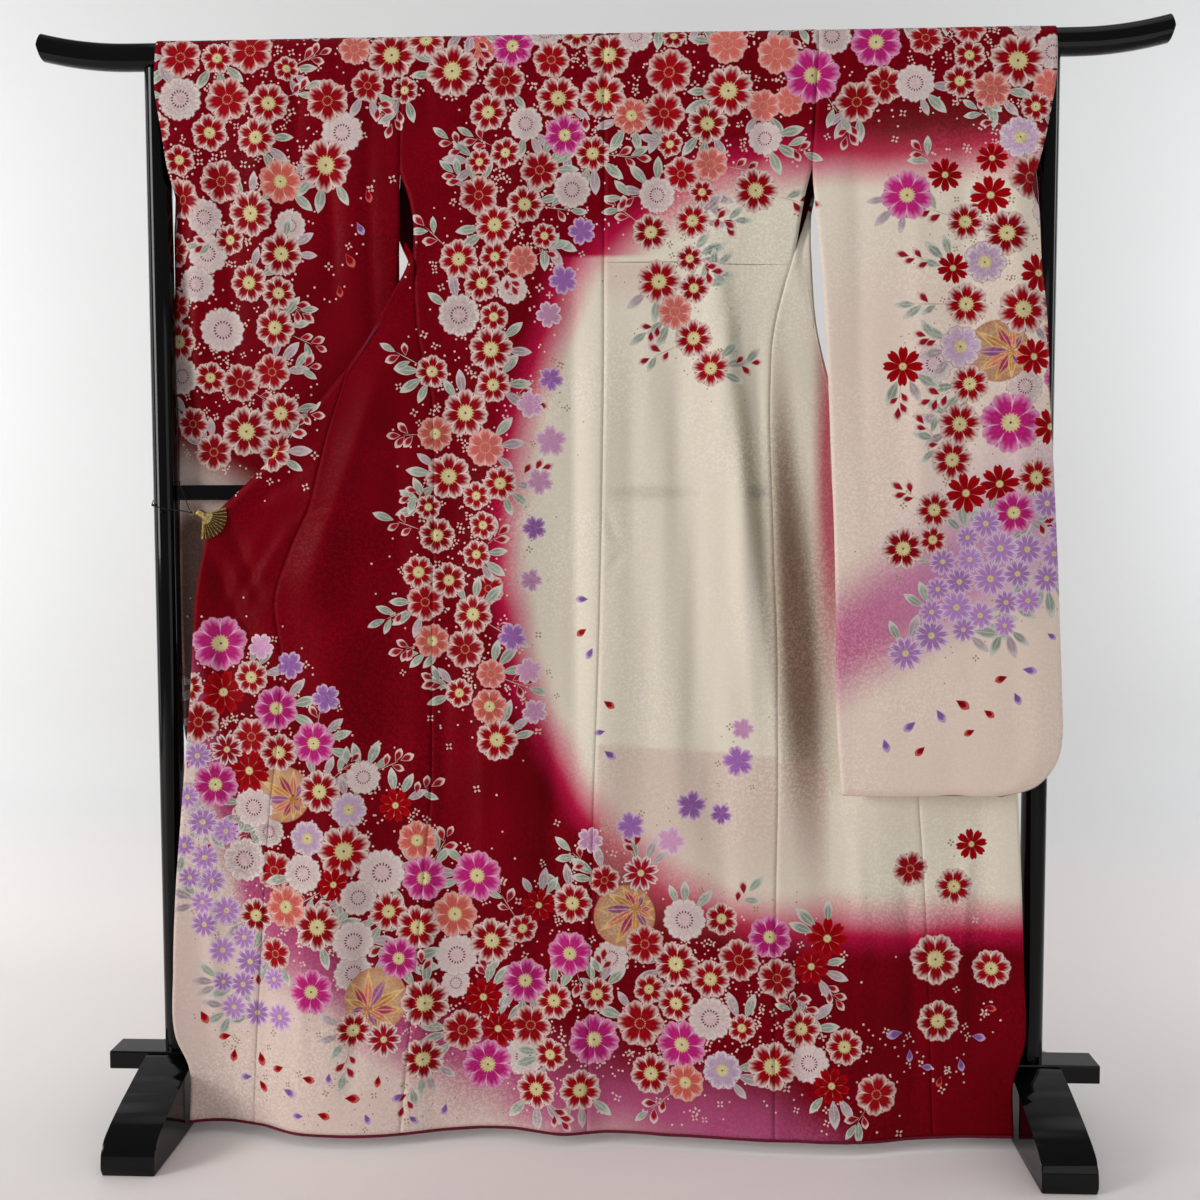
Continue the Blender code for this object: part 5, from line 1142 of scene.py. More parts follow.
def garland(guide, layers, placed):
    """The blooms along one guide, paler ones behind them, and leaves, sprigs, sparkles and dots round them.

    It asks for about one bloom to each BLOOM_SPACE of the guide's area, times its density.
    """
    rng = random.Random(guide.seed)
    length = sum(math.dist(a[:2], b[:2]) for a, b in zip(guide.points, guide.points[1:]))
    width = 2 * sum(p[2] for p in guide.points) / len(guide.points)
    tries = int(guide.density * length * width / BLOOM_SPACE) + 3
    made = spread_blooms(guide, rng, guide.mixture, tries, guide.apart, guide.size, placed)
    layers.blooms.extend(m for m, _, _ in made)
    if guide.sprigs:
        back = spread_blooms(guide, rng, BEHIND_MIX, tries // 3, BEHIND_APART, guide.size * 0.95, placed)
        layers.behind.extend(m for m, _, _ in back)
    for m, toward, off in made:
        for _ in range(guide.leaves):
            if rng.random() < 0.34 + 0.4 * off:
                leaf_cluster(rng, m, toward + rng.uniform(-1.1, 1.1) / (0.4 + off), layers)
        if rng.random() < guide.sprigs * (0.3 + off):
            sprig(rng, m, toward + rng.uniform(-0.8, 0.8), rng.uniform(0.022, 0.045), layers)
        for _ in range(guide.specks * 3):
            speck(rng, m, layers)


def temari(x, s, rng):
    """A thread ball: a tan disc with coloured gores, edged in gold, from an off-centre hub to its rim."""
    ball = motif(TEMARI, x, s, 0.0, rng)
    turn = rng.uniform(0, 2 * math.pi)
    off = ball.radius * TEMARI_HUB
    hub_x, hub_s = x + off * math.cos(turn), s + off * math.sin(turn)
    parts = [ball]
    for k in range(TEMARI_TURNS):
        angle = 2 * math.pi * k / TEMARI_TURNS
        away = angle - turn
        rim = math.sqrt(ball.radius**2 - (off * math.sin(away)) ** 2) - off * math.cos(away)
        kind, half = TEMARI_GORES[k % len(TEMARI_GORES)], 0.485 * rim
        gore = motif(kind, hub_x + math.cos(angle) * half, hub_s + math.sin(angle) * half, -angle, rng)
        parts.append(gore._replace(radius=half, base=kind.base * (0.60 + 0.40 * off / half)))
    return parts + [motif(TEMARI_STAR, hub_x, hub_s, turn, rng)]


def printed_motifs():
    """All motifs, from the bottom of the print to its top."""
    layers = Layers([], [], [], [], [], [])
    placed = []
    rng = random.Random(TEMARI_SEED)
    balls = []
    for x, s in TEMARI_PLACES:
        parts = temari(x, s, rng)
        placed.append(parts[0]._replace(radius=parts[0].radius * 0.75))
        balls += parts
    for guide in GUIDES:
        garland(guide, layers, placed)
    for guide in GUIDES:
        if guide.turned_over:
            points = [(x, 2 * SHOULDER_TURN - z, half) for x, z, half in guide.points]
            garland(guide._replace(points=points, seed=guide.seed + 100), layers, placed)
    lines = [motif(TUCK_LINE, x, s, TUCK_LINE_TURN, rng) for x, s in TUCK_LINE_PLACES]
    under = lines + layers.specks + layers.stems + layers.behind + layers.leaves + layers.buds
    return under + balls + layers.blooms


def lies_on(m, away, pad):
    """Whether places near a motif lie on it or within a pad of it."""
    r = np.linalg.norm(away, axis=1)
    angle = np.arctan2(away[:, 1], away[:, 0]) + m.turn
    if m.petals == 2:
        along = np.maximum(np.abs(r * np.cos(angle)) - pad, 0.0) / m.radius
        aside = np.maximum(np.abs(r * np.sin(angle)) - pad, 0.0) / m.radius
        return along**2 + aside / (m.base * (1 + m.power)) < 1
    if m.petals < 5 or m.base > FULL_BASE:
        return r < m.radius + pad
    lobes = [np.abs(np.cos((angle + d) * m.petals / 2)) for d in (-0.12, 0.0, 0.12)]
    widest = m.base + (1 - m.base) * np.maximum.reduce(lobes) ** m.power
    return r < widest * m.radius + pad


def lay_motifs(data, place, faces, count, motifs):
    """Gives each printed face the few motifs that lie over it, the topmost last."""
    corners = place[faces[:count]][..., :2]
    centre = corners.mean(axis=1)
    reach = np.linalg.norm(corners - centre[:, None], axis=2).max(axis=1)
    low, high = centre.min(axis=0), centre.max(axis=0)
    total = len(faces)
    where = np.tile(np.array([-9.0, -9.0, 0.001]), (SLOTS, total, 1))
    form = np.zeros((SLOTS, total, 3))
    form[..., 1:] = 1.0
    inner = np.zeros((SLOTS, total, 4))
    outer = np.zeros((SLOTS, total, 4))
    filled = np.zeros(count, int)
    covered = np.zeros(count, bool)
    order = np.argsort(centre[:, 1])
    heights = centre[order, 1]
    for m in reversed(motifs):
        in_width = low[0] - m.radius < m.x < high[0] + m.radius
        if not (in_width and low[1] - m.radius < m.s < high[1] + m.radius):
            continue
        pad = m.radius + MOTIF_PAD
        near = order[np.searchsorted(heights, m.s - pad):np.searchsorted(heights, m.s + pad)]
        near = near[(np.abs(centre[near, 0] - m.x) < pad) & ~covered[near] & (filled[near] < SLOTS)]
        if not len(near):
            continue
        away = centre[near] - (m.x, m.s)
        hit = near[lies_on(m, away, reach[near])]
        at = SLOTS - 1 - filled[hit]
        where[at, hit] = (m.x, m.s, m.radius)
        form[at, hit] = (m.turn, m.petals, m.power)
        inner[at, hit] = (*m.inner, m.base)
        outer[at, hit] = (*m.outer, m.centre)
        filled[hit] += 1
        if m.petals != 2:
            covered[near[np.linalg.norm(away, axis=1) < 0.9 * m.base * m.radius - reach[near]]] = True
    for k in range(SLOTS):
        for label, values, kind, field in (
            ("where", where, "FLOAT_VECTOR", "vector"), ("form", form, "FLOAT_VECTOR", "vector"),
            ("inner", inner, "FLOAT_COLOR", "color"), ("outer", outer, "FLOAT_COLOR", "color"),
        ):
            attribute = data.attributes.new(f"{label}_{k}", kind, "FACE")
            attribute.data.foreach_set(field, values[k].astype(np.float32).ravel())


def mesh_object(name, mesh, materials):
    """A smooth object in the scene, made from a bmesh, which is freed."""
    data = bpy.data.meshes.new(name)
    mesh.to_mesh(data)
    mesh.free()
    for m in materials:
        data.materials.append(m)
    data.shade_smooth()
    obj = bpy.data.objects.new(name, data)
    bpy.context.scene.collection.objects.link(obj)
    return obj


# Collars and the hem


def over_collar_rows():
    """The middle of the collar's rows again, from one side round the neck to the other, lifted off it."""
    around = LEFT_COLLAR[:OVER_COLLAR_ROWS][::-1] + RIGHT_COLLAR[1:OVER_COLLAR_ROWS]
    rows = np.array(collar_rows(around))
    n = normals_of(rows)
    return rows + n * (OVER_COLLAR_OFFSET if n[..., 1].sum() > 0 else -OVER_COLLAR_OFFSET)


def hem_roll(material, left, right):
    """The lining's rolled edge under the hem, plumper and thinner along its length."""
    start, end = left[-1][2][0], right[-1][2][0]
    x = np.linspace(start, end, HEM_ROLL_RINGS)
    z = np.full_like(x, HEM_Z)
    y = np.array([drape(at, HEM_Z) for at in x]) + crease_depth(BODY_CREASES, x, z) + waves(x, z, CLOTH_WAVES)
    plump = 0.94 + waves(x, z, HEM_ROLL_WAVES)
    mesh = bmesh.new()
    rings = []
    for at, depth, full in zip(x, y, plump):
        half_depth, half_height = HEM_ROLL_DEPTH / 2 * full, HEM_ROLL_HEIGHT / 2 * full
        middle = HEM_Z - half_height
        rings.append([
            mesh.verts.new((at, depth + half_depth * math.cos(a), middle + half_height * math.sin(a)))
            for a in (2 * math.pi * k / HEM_ROLL_SIDES for k in range(HEM_ROLL_SIDES))
        ])
    join_rings(mesh, rings)
    bmesh.ops.recalc_face_normals(mesh, faces=mesh.faces)
    obj = mesh_object("hem_piping", mesh, [material])
    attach(obj, "root")
    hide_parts("hem_roll")


# Stand and clip


def join_rings(mesh, rings, capped=True):
    """Faces between rings of equal length, with both ends closed."""
    for near, far in zip(rings, rings[1:]):
        for k in range(len(near)):
            mesh.faces.new((near[k - 1], near[k], far[k], far[k - 1]))
    if capped:
        mesh.faces.new(rings[0])
        mesh.faces.new(rings[-1])


def hard_piece(name, mesh, materials, nodes, sharp_deg=40.0):
    """A rigid piece that stands for CAD nodes, smooth but for its sharp edges."""
    bmesh.ops.recalc_face_normals(mesh, faces=mesh.faces)
    obj = mesh_object(name, mesh, materials)
    obj.data.set_sharp_from_angle(angle=math.radians(sharp_deg))
    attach(obj, "root")
    if nodes:
        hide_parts(*nodes)


def lacquered_bar(material):
    """The bar, whose tips turn up in an even curve."""
    tip_length = BAR_REACH - BAR_BEND_START
    tips = [BAR_BEND_START + tip_length * k / BAR_TIP_RINGS for k in range(BAR_TIP_RINGS + 1)]
    mesh = bmesh.new()
    rings = []
    for x in [-tip for tip in reversed(tips)] + tips:
        bend = max(abs(x) - BAR_BEND_START, 0.0) / tip_length
        lift, slope = BAR_TIP_RISE * bend**2, 2 * BAR_TIP_RISE * bend / tip_length
        ring = []
        for k in range(ROUND_SIDES):
            y, z = bar_section(2 * math.pi * k / ROUND_SIDES, 0.0)
            ring.append(mesh.verts.new((x - math.copysign(slope * z, x), y, BAR_Z + lift + z)))
        rings.append(ring)
    join_rings(mesh, rings)
    hard_piece("lacquer_bar", mesh, [material], ["top_bar"])


def lacquered_post(name, x, node, material):
    bottom, top = BEAM_TOP + JOINT_GAP, BAR_Z - BAR_HALF_HEIGHT - JOINT_GAP
    mesh = bmesh.new()
    rings = [
        [mesh.verts.new((x + POST_RADIUS * math.cos(a), POST_RADIUS * math.sin(a), z))
         for a in (2 * math.pi * k / ROUND_SIDES for k in range(ROUND_SIDES))]
        for z in (bottom, top)
    ]
    join_rings(mesh, rings)
    hard_piece(name, mesh, [material], [node])


def lacquered_foot(name, x, node, material):
    """A foot with an even curve over its top and down its toe, and softened edges."""
    places = [0.0]
    for near, far in zip(FOOT_TOP_LINE, FOOT_TOP_LINE[1:]):
        places.append(places[-1] + math.dist(near, far))
    curve = [eased(places, FOOT_TOP_LINE, places[-1] * k / FOOT_TOP_STEPS) for k in range(FOOT_TOP_STEPS + 1)]
    right = [(BEAM_HALF_DEPTH + JOINT_GAP, BEAM_BOTTOM - JOINT_GAP)] + curve + [FOOT_TOE] + FOOT_ARCH
    outline = right + [(-y, z) for y, z in reversed(right[:-1])]
    mesh = bmesh.new()
    sides = (-FOOT_HALF_WIDTH, FOOT_HALF_WIDTH)
    rings = [[mesh.verts.new((x + side, y, z)) for y, z in outline] for side in sides]
    join_rings(mesh, rings)
    rims = [edge for edge in mesh.edges if edge.verts[0].co.x == edge.verts[1].co.x]
    bmesh.ops.bevel(
        mesh, geom=rims, offset=FOOT_EDGE, segments=3, affect="EDGES", profile=0.5, clamp_overlap=True,
    )
    hard_piece(name, mesh, [material], [node])


def sector(mesh, pivot, angles, inner, outer, front, back, slot):
    """A flat ring sector between two depths, in the fan's plane."""
    rings = []
    for radius, depth in ((inner, front), (outer, front), (outer, back), (inner, back)):
        rings.append([
            mesh.verts.new((pivot[0] + radius * math.cos(a), depth, pivot[2] + radius * math.sin(a)))
            for a in angles
        ])
    first = len(mesh.faces)
    for near, far in zip(rings, rings[1:] + rings[:1]):
        for k in range(len(angles) - 1):
            mesh.faces.new((near[k], near[k + 1], far[k + 1], far[k]))
    for end in (0, -1):
        mesh.faces.new([ring[end] for ring in rings])
    mesh.faces.ensure_lookup_table()
    for face in mesh.faces[first:]:
        face.material_index = slot


def clip_fan(metal, shade):
    """A folding fan: a plain hub, a dark leaf of painted pleat shadow, and bright ribs over it that widen to
    the rim.
    """
    turns = [math.radians(FAN_START_DEG + FAN_SWEEP_DEG * k / FAN_STEPS) for k in range(FAN_STEPS + 1)]
    front = FAN_PIVOT[1]
    mesh = bmesh.new()
    # The leaf is a dark sheet of painted shadow, standing for the shade in the pleats between the ribs
    sector(mesh, FAN_PIVOT, turns, FAN_HUB_RADIUS * 0.8, FAN_RADIUS, front, front + FAN_LEAF_WALL, 1)
    sector(mesh, FAN_PIVOT, turns, 0.0008, FAN_HUB_RADIUS, front - FAN_LEAF_WALL, front + FAN_LEAF_WALL, 0)
    for k in range(FAN_RIBS + 1):
        angle = math.radians(FAN_START_DEG + FAN_SWEEP_DEG * k / FAN_RIBS)
        guard = k in (0, FAN_RIBS)
        half = FAN_GUARD_HALF if guard else FAN_RIB_HALF
        start = 0.0 if guard else FAN_HUB_RADIUS * 0.9
        ends = []
        for radius, share in ((start, 0.45), (FAN_RADIUS + 0.0006, 1.0)):
            x, z = FAN_PIVOT[0] + radius * math.cos(angle), FAN_PIVOT[2] + radius * math.sin(angle)
            dx, dz = -math.sin(angle) * half * share, math.cos(angle) * half * share
            back, near = front + 0.0002, front - FAN_RIB_WALL
            ends.append([
                mesh.verts.new(p) for p in (
                    (x - dx, back, z - dz), (x - dx * 0.4, near, z - dz * 0.4),
                    (x + dx * 0.4, near, z + dz * 0.4), (x + dx, back, z + dz),
                )
            ])
        join_rings(mesh, ends)
    hard_piece("clip_fan_ribbed", mesh, [metal, shade], ["clip_fan"], 25.0)


def clip_spring(metal):
    """The clip's narrow spring plate, bent round the cloth's edge."""
    x, _, z = FAN_PIVOT
    line = [Vector((x + dx, y, z + dz)) for dx, y, dz in JAW_LINE]
    wide = Vector((JAW_HALF[0], 0.0, JAW_HALF[1]))
    mesh = bmesh.new()
    rings = []
    for k, point in enumerate(line):
        along = (line[min(k + 1, len(line) - 1)] - line[max(k - 1, 0)]).normalized()
        thick = along.cross(wide).normalized() * JAW_HALF_WALL
        rings.append([
            mesh.verts.new(point + wide * a + thick * b) for a, b in ((-1, -1), (1, -1), (1, 1), (-1, 1))
        ])
    join_rings(mesh, rings)
    hard_piece("clip_spring", mesh, [metal], ["clip_jaw"], 25.0)


def thread_knots(material):
    """Small knots in the thread where it passes the post."""
    mesh = bmesh.new()
    for place in KNOTS:
        bmesh.ops.create_icosphere(mesh, subdivisions=2, radius=KNOT_RADIUS, matrix=Matrix.Translation(place))
    hard_piece("thread_knots", mesh, [material], [], 180.0)


# Materials


class Nodes:
    """Short calls that add nodes to one tree, in the order they are needed."""

    def __init__(self, tree):
        self.tree = tree

    def add(self, kind, **settings):
        node = self.tree.nodes.new(kind)
        for key, value in settings.items():
            setattr(node, key, value)
        return node

    def put(self, socket, value):
        if isinstance(value, bpy.types.NodeSocket):
            self.tree.links.new(value, socket)
        elif value is not None:
            socket.default_value = value

    def math(self, operation, *values, clamp=False):
        node = self.add("ShaderNodeMath", operation=operation, use_clamp=clamp)
        for socket, value in zip(node.inputs, values):
            self.put(socket, value)
        return node.outputs[0]

    def times(self, a, b):
        return self.math("MULTIPLY", a, b)

    def plus(self, a, b):
        return self.math("ADD", a, b)

    def minus(self, a, b):
        return self.math("SUBTRACT", a, b)

    def over(self, a, b):
        return self.math("DIVIDE", a, b)

    def mix(self, share, a, b, blend="MIX"):
        node = self.add("ShaderNodeMix", data_type="RGBA", blend_type=blend)
        self.put(node.inputs[0], share)
        self.put(node.inputs[6], a)
        self.put(node.inputs[7], b)
        return node.outputs[2]

    def ramp(self, value, low, high, to_low=0.0, to_high=1.0):
        node = self.add("ShaderNodeMapRange", interpolation_type="SMOOTHSTEP")
        for socket, item in zip(node.inputs, (value, low, high, to_low, to_high)):
            self.put(socket, item)
        return node.outputs[0]

    def choose(self, share, a, b):
        node = self.add("ShaderNodeMix", data_type="FLOAT")
        self.put(node.inputs[0], share)
        self.put(node.inputs[2], a)
        self.put(node.inputs[3], b)
        return node.outputs[0]

    def parts(self, colour):
        node = self.add("ShaderNodeSeparateColor")
        self.put(node.inputs[0], colour)
        return node.outputs[0], node.outputs[1], node.outputs[2]

    def attribute(self, name):
        return self.add("ShaderNodeAttribute", attribute_name=name).outputs

    def noise(self, vector, scale, detail=2.0, roughness=0.5, distortion=0.0):
        node = self.add("ShaderNodeTexNoise")
        self.put(node.inputs["Vector"], vector)
        self.put(node.inputs["Scale"], scale)
        self.put(node.inputs["Detail"], detail)
        self.put(node.inputs["Roughness"], roughness)
        self.put(node.inputs["Distortion"], distortion)
        return node.outputs[0]

    def bump(self, height, strength, distance, normal=None):
        node = self.add("ShaderNodeBump")
        node.inputs["Strength"].default_value = strength
        node.inputs["Distance"].default_value = distance
        self.put(node.inputs["Height"], height)
        self.put(node.inputs["Normal"], normal)
        return node.outputs[0]


def motif_group():
    """One motif drawn over the colour below it: a bloom's petals by angle, or a leaf along its length."""
    group = bpy.data.node_groups.new("motif", "ShaderNodeTree")
    for label, kind in (
        ("Below", "Color"), ("X", "Float"), ("S", "Float"), ("Where", "Color"), ("Form", "Color"),
        ("Inner", "Color"), ("Base", "Float"), ("Outer", "Color"), ("Centre", "Float"),
    ):
        group.interface.new_socket(label, in_out="INPUT", socket_type=f"NodeSocket{kind}")
    group.interface.new_socket("Colour", in_out="OUTPUT", socket_type="NodeSocketColor")
    n = Nodes(group)
    given = n.add("NodeGroupInput").outputs
    below, base, inner, outer = given["Below"], given["Base"], given["Inner"], given["Outer"]
    at_x, at_s, radius = n.parts(given["Where"])
    turn, petals, power = n.parts(given["Form"])
    dx = n.over(n.minus(given["X"], at_x), radius)
    ds = n.over(n.minus(given["S"], at_s), radius)
    r = n.math("SQRT", n.plus(n.times(dx, dx), n.times(ds, ds)))
    angle = n.plus(n.math("ARCTAN2", ds, dx), turn)

    # A bloom's front petals, and the tips of those behind that show between them
    lobed = n.times(angle, petals)
    lobe = n.math("ABSOLUTE", n.math("COSINE", n.times(lobed, 0.5)))
    gap = n.math("ABSOLUTE", n.math("SINE", n.times(lobed, 0.5)))
    bloom = n.math("GREATER_THAN", petals, 4.5)
    front = n.times(n.minus(1.0, base), n.math("POWER", lobe, power))
    notch = n.math("MAXIMUM", n.minus(lobe, 0.93), 0.0)
    full = n.times(bloom, n.math("GREATER_THAN", base, FULL_BASE))
    dent = n.times(notch, n.choose(full, n.times(bloom, NOTCH), FULL_NOTCH))
    front = n.minus(n.plus(front, base), dent)
    back = n.times(n.times(full, BACK_REACH), n.math("POWER", gap, 0.55))
    along = n.over(r, front)
    beyond = n.minus(r, front)

    # A leaf, bud, petal or stem
    u = n.times(r, n.math("COSINE", angle))
    v = n.math("ABSOLUTE", n.times(r, n.math("SINE", angle)))
    width = n.times(base, n.plus(1.0, n.times(power, u)))
    lens = n.plus(n.times(u, u), n.over(v, n.math("MAXIMUM", width, 0.001)))
    is_lens = n.times(n.math("GREATER_THAN", petals, 1.5), n.math("LESS_THAN", petals, 2.5))
    t = n.choose(is_lens, n.over(r, n.math("MAXIMUM", front, back)), lens)

    # Petal colours, streaked and paler to their tips and sides
    streak = n.times(n.math("COSINE", n.times(lobed, 4.0)), 0.035)
    paled = n.plus(n.plus(along, streak), n.times(n.math("POWER", gap, 4.0), 0.14))
    lens_paled = n.times(n.plus(n.plus(lens, u), 1.0), 0.45)
    share = n.ramp(n.choose(is_lens, paled, lens_paled), 0.66, 1.02)
    colour = n.mix(share, inner, outer)
    darker = n.mix(0.45, inner, (0.02, 0.0, 0.0, 1.0))
    behind = n.mix(n.ramp(n.over(r, n.math("MAXIMUM", back, 0.001)), 0.86, 0.97), darker, outer)
    colour = n.mix(n.times(n.ramp(beyond, 0.0, 0.02), full), colour, behind)

    # Thin lines round each petal, pale on a deep petal and dark on a pale one
    green = n.parts(inner)[1]
    line = n.mix(
        n.ramp(green, 0.2, 0.3), n.mix(0.5, outer, (0.80, 0.72, 0.68, 1.0)),
        n.mix(0.25, inner, (0.2, 0.1, 0.1, 1.0)),
    )
    between = n.times(n.ramp(n.over(lobe, petals), 0.024, 0.007), n.ramp(r, 0.25, 0.70, 0.15, 1.0))
    between = n.times(n.times(between, bloom), n.ramp(beyond, 0.01, 0.0))
    rim = n.times(n.times(n.ramp(beyond, -0.075, -0.03), n.ramp(beyond, 0.03, 0.0)), full)
    colour = n.mix(n.times(n.math("MAXIMUM", between, rim), 0.85), colour, line)
    midrib = n.times(n.times(n.ramp(v, 0.05, 0.015), n.math("LESS_THAN", base, 0.4)), is_lens)
    edge = n.times(n.ramp(lens, 0.66, 0.90), is_lens)
    colour = n.mix(n.times(n.math("MAXIMUM", midrib, edge), 0.7), colour, outer)

    # The centre: a pale yellow disc with stamens round it, or a ring of dots
    centre = given["Centre"]
    core = n.over(r, n.math("MAXIMUM", n.math("ABSOLUTE", centre), 0.001))
    disc = n.math("GREATER_THAN", centre, 0.001)
    ringed = n.math("LESS_THAN", centre, -0.001)
    dots = n.ramp(n.math("COSINE", n.times(angle, 17.0)), -0.1, 0.5)
    ring = n.times(n.times(n.ramp(core, 0.80, 0.90), n.ramp(core, 1.20, 1.10)), dots)
    heart = n.mix(n.ramp(core, 0.20, 0.10), (0.68, 0.58, 0.31, 1.0), (0.10, 0.07, 0.01, 1.0))
    heart = n.mix(n.times(n.ramp(core, 0.60, 0.95), 0.35), heart, (0.55, 0.36, 0.12, 1.0))
    colour = n.mix(n.times(disc, n.ramp(core, 1.02, 0.92)), colour, heart)
    colour = n.mix(n.times(n.times(disc, ring), 0.7), colour, (0.66, 0.52, 0.20, 1.0))
    pale = n.ramp(green, 0.2, 0.3)
    blush = n.times(n.times(ringed, pale), n.ramp(core, 1.1, 0.7))
    colour = n.mix(n.times(blush, 0.22), colour, (0.66, 0.34, 0.42, 1.0))
    dot_colour = n.mix(pale, (0.62, 0.36, 0.20, 1.0), (0.10, 0.004, 0.02, 1.0))
    colour = n.mix(n.times(ringed, ring), colour, dot_colour)
    outline = n.times(n.times(n.ramp(t, 0.92, 0.97), full), 0.55)
    colour = n.mix(outline, colour, (0.40, 0.15, 0.16, 1.0))
    out = n.add("NodeGroupOutput")
    hollow = n.times(n.math("LESS_THAN", r, SPARK_HOLLOW), n.math("COMPARE", petals, 4.0))
    n.put(out.inputs[0], n.mix(n.minus(n.ramp(t, 1.0, 0.95), hollow), below, colour))
    return group


def new_material(name, roughness, sheen=0.0, coat=0.0, metallic=0.0, specular=0.5):
    made = bpy.data.materials.new(name)
    made.use_nodes = True
    shader = made.node_tree.nodes["Principled BSDF"]
    shader.inputs["Roughness"].default_value = roughness
    shader.inputs["Metallic"].default_value = metallic
    shader.inputs["Specular IOR Level"].default_value = specular
    shader.inputs["Sheen Weight"].default_value = sheen
    shader.inputs["Sheen Roughness"].default_value = 0.35
    shader.inputs["Coat Weight"].default_value = coat
    shader.inputs["Coat Roughness"].default_value = 0.03
    return made, Nodes(made.node_tree), shader


def silk_material(group):
    """Printed figured silk: the dyed ground, the motifs over it, and a damask whose glints in places are
    painted sheen and shade.
    """
    made, n, shader = new_material("silk_print", 0.42, sheen=0.0, specular=0.04)
    x, s, _ = n.parts(n.attribute("print_place")["Color"])
    colour = n.attribute("ground_dye_and_shade")["Color"]
    for k in range(SLOTS):
        where = n.attribute(f"where_{k}")["Color"]
        form = n.attribute(f"form_{k}")["Color"]
        inner = n.attribute(f"inner_{k}")
        outer = n.attribute(f"outer_{k}")
        node = n.add("ShaderNodeGroup", node_tree=group)
        for label, value in (
            ("Below", colour), ("X", x), ("S", s), ("Where", where), ("Form", form),
            ("Inner", inner["Color"]), ("Base", inner["Alpha"]),
            ("Outer", outer["Color"]), ("Centre", outer["Alpha"]),
        ):
            n.put(node.inputs[label], value)
        colour = node.outputs[0]
    place = n.attribute("print_place")["Vector"]
    figure = n.ramp(n.noise(place, DAMASK_SCALE, 1.5, 0.55, 0.9), 0.44, 0.60)
    glint = n.ramp(n.noise(place, GLINT_SCALE, 2.0, 0.6), 0.38, 0.68, 0.25, 1.0)
    # Painted sheen on the figure and painted shade beside it where it glints; the sheen share also lowers the
    # roughness
    lift = n.times(n.times(figure, glint), DAMASK_PAINTED_SHEEN)
    painted_shade = n.times(n.times(n.minus(1.0, figure), glint), DAMASK_PAINTED_SHADE)
    colour = n.mix(lift, colour, (1.0, 0.97, 0.93, 1.0), blend="SOFT_LIGHT")
    colour = n.mix(painted_shade, colour, (0.0, 0.0, 0.0, 1.0), blend="SOFT_LIGHT")
    n.put(shader.inputs["Base Color"], colour)
    n.put(shader.inputs["Roughness"], n.minus(0.50, n.times(lift, 0.30)))
    crepe = n.noise(place, CREPE_SCALE, 1.0)
    height = n.plus(n.times(figure, 0.6), n.times(crepe, 0.4))
    n.put(shader.inputs["Normal"], n.bump(height, 0.30, 0.0003))
    return made


def plain_silk(name, dark, light, roughness=0.5, scale=900.0):
    made, n, shader = new_material(name, roughness, sheen=0.01, specular=0.06)
    place = n.add("ShaderNodeTexCoord").outputs["Object"]
    n.put(shader.inputs["Base Color"], n.mix(n.noise(place, 14.0, 3.0), (*dark, 1.0), (*light, 1.0)))
    n.put(shader.inputs["Normal"], n.bump(n.noise(place, scale), 0.2, 0.0003))
    return made


def lacquer_material():
    made, n, shader = new_material("lacquer", 0.08, specular=0.22)
    place = n.add("ShaderNodeTexCoord").outputs["Object"]
    worn = n.noise(place, 9.0, 4.0, 0.6)
    black = n.mix(worn, (0.0012, 0.0012, 0.0014, 1.0), (0.003, 0.0028, 0.0028, 1.0))
    n.put(shader.inputs["Base Color"], black)
    n.put(shader.inputs["Roughness"], n.ramp(worn, 0.3, 0.8, 0.05, 0.12))
    n.put(shader.inputs["Normal"], n.bump(n.noise(place, 30.0), 0.02, 0.001))
    return made


def gold_material():
    made, n, shader = new_material("clip_metal", 0.3, metallic=1.0)
    place = n.add("ShaderNodeTexCoord").outputs["Object"]
    gold = n.mix(n.noise(place, 160.0, 3.0), (0.52, 0.36, 0.12, 1.0), (0.86, 0.66, 0.28, 1.0))
    n.put(shader.inputs["Base Color"], gold)
    n.put(shader.inputs["Roughness"], n.ramp(n.noise(place, 300.0), 0.3, 0.7, 0.2, 0.42))
    return made


def thread_material():
    made, n, shader = new_material("thread", 0.8, specular=0.2)
    place = n.add("ShaderNodeTexCoord").outputs["Object"]
    black = n.mix(n.noise(place, 700.0), (0.003, 0.003, 0.004, 1.0), (0.012, 0.011, 0.011, 1.0))
    n.put(shader.inputs["Base Color"], black)
    n.put(shader.inputs["Normal"], n.bump(n.noise(place, 2200.0), 0.4, 0.0003))
    return made


def creased(grid, print_row, table, far_table=()):
    """Moves the cloth along its normal by its creases and slight waves, less over the bar."""
    grid = grid.copy()
    n = normals_of(grid)
    n *= np.where(n[-1].mean(axis=0)[1] > 0, 1.0, -1.0)
    x, z = grid[..., 0], grid[..., 2]
    rows = np.arange(len(grid))[:, None]
    near = np.where(rows >= print_row, 1.0, 0.0) * np.ones_like(x)
    on_bar = step_between(*CALM_RANGE, z)
    depth = crease_depth(table, x, z) * near + crease_depth(far_table, x, z) * (1 - near)
    depth += waves(x, z, CLOTH_WAVES) * (1 - CALM_SHARE * on_bar)
    puckers = waves(x, z, PUCKER_WAVES) * step_between(*PUCKER_RANGE, z) * near
    depth += puckers * (1 - step_between(*PUCKER_END, z))
    return grid + n * depth[..., None]


def near_seams(grid, columns):
    """Sinks the cloth a little at its seams, its first or last columns, and lifts it beside them."""
    n = normals_of(grid)
    n *= np.where(n[-1].mean(axis=0)[1] > 0, 1.0, -1.0)
    out = grid.copy()
    for column in columns:
        away = np.linalg.norm(grid - grid[:, column][:, None], axis=2)
        out += n * (SEAM_DEPTH * np.exp(-((away / SEAM_WIDTH) ** 2)))[..., None]
        out -= n * (RIDGE_HEIGHT * np.exp(-(((away - RIDGE_PLACE) / SEAM_WIDTH) ** 2)))[..., None]
    return out


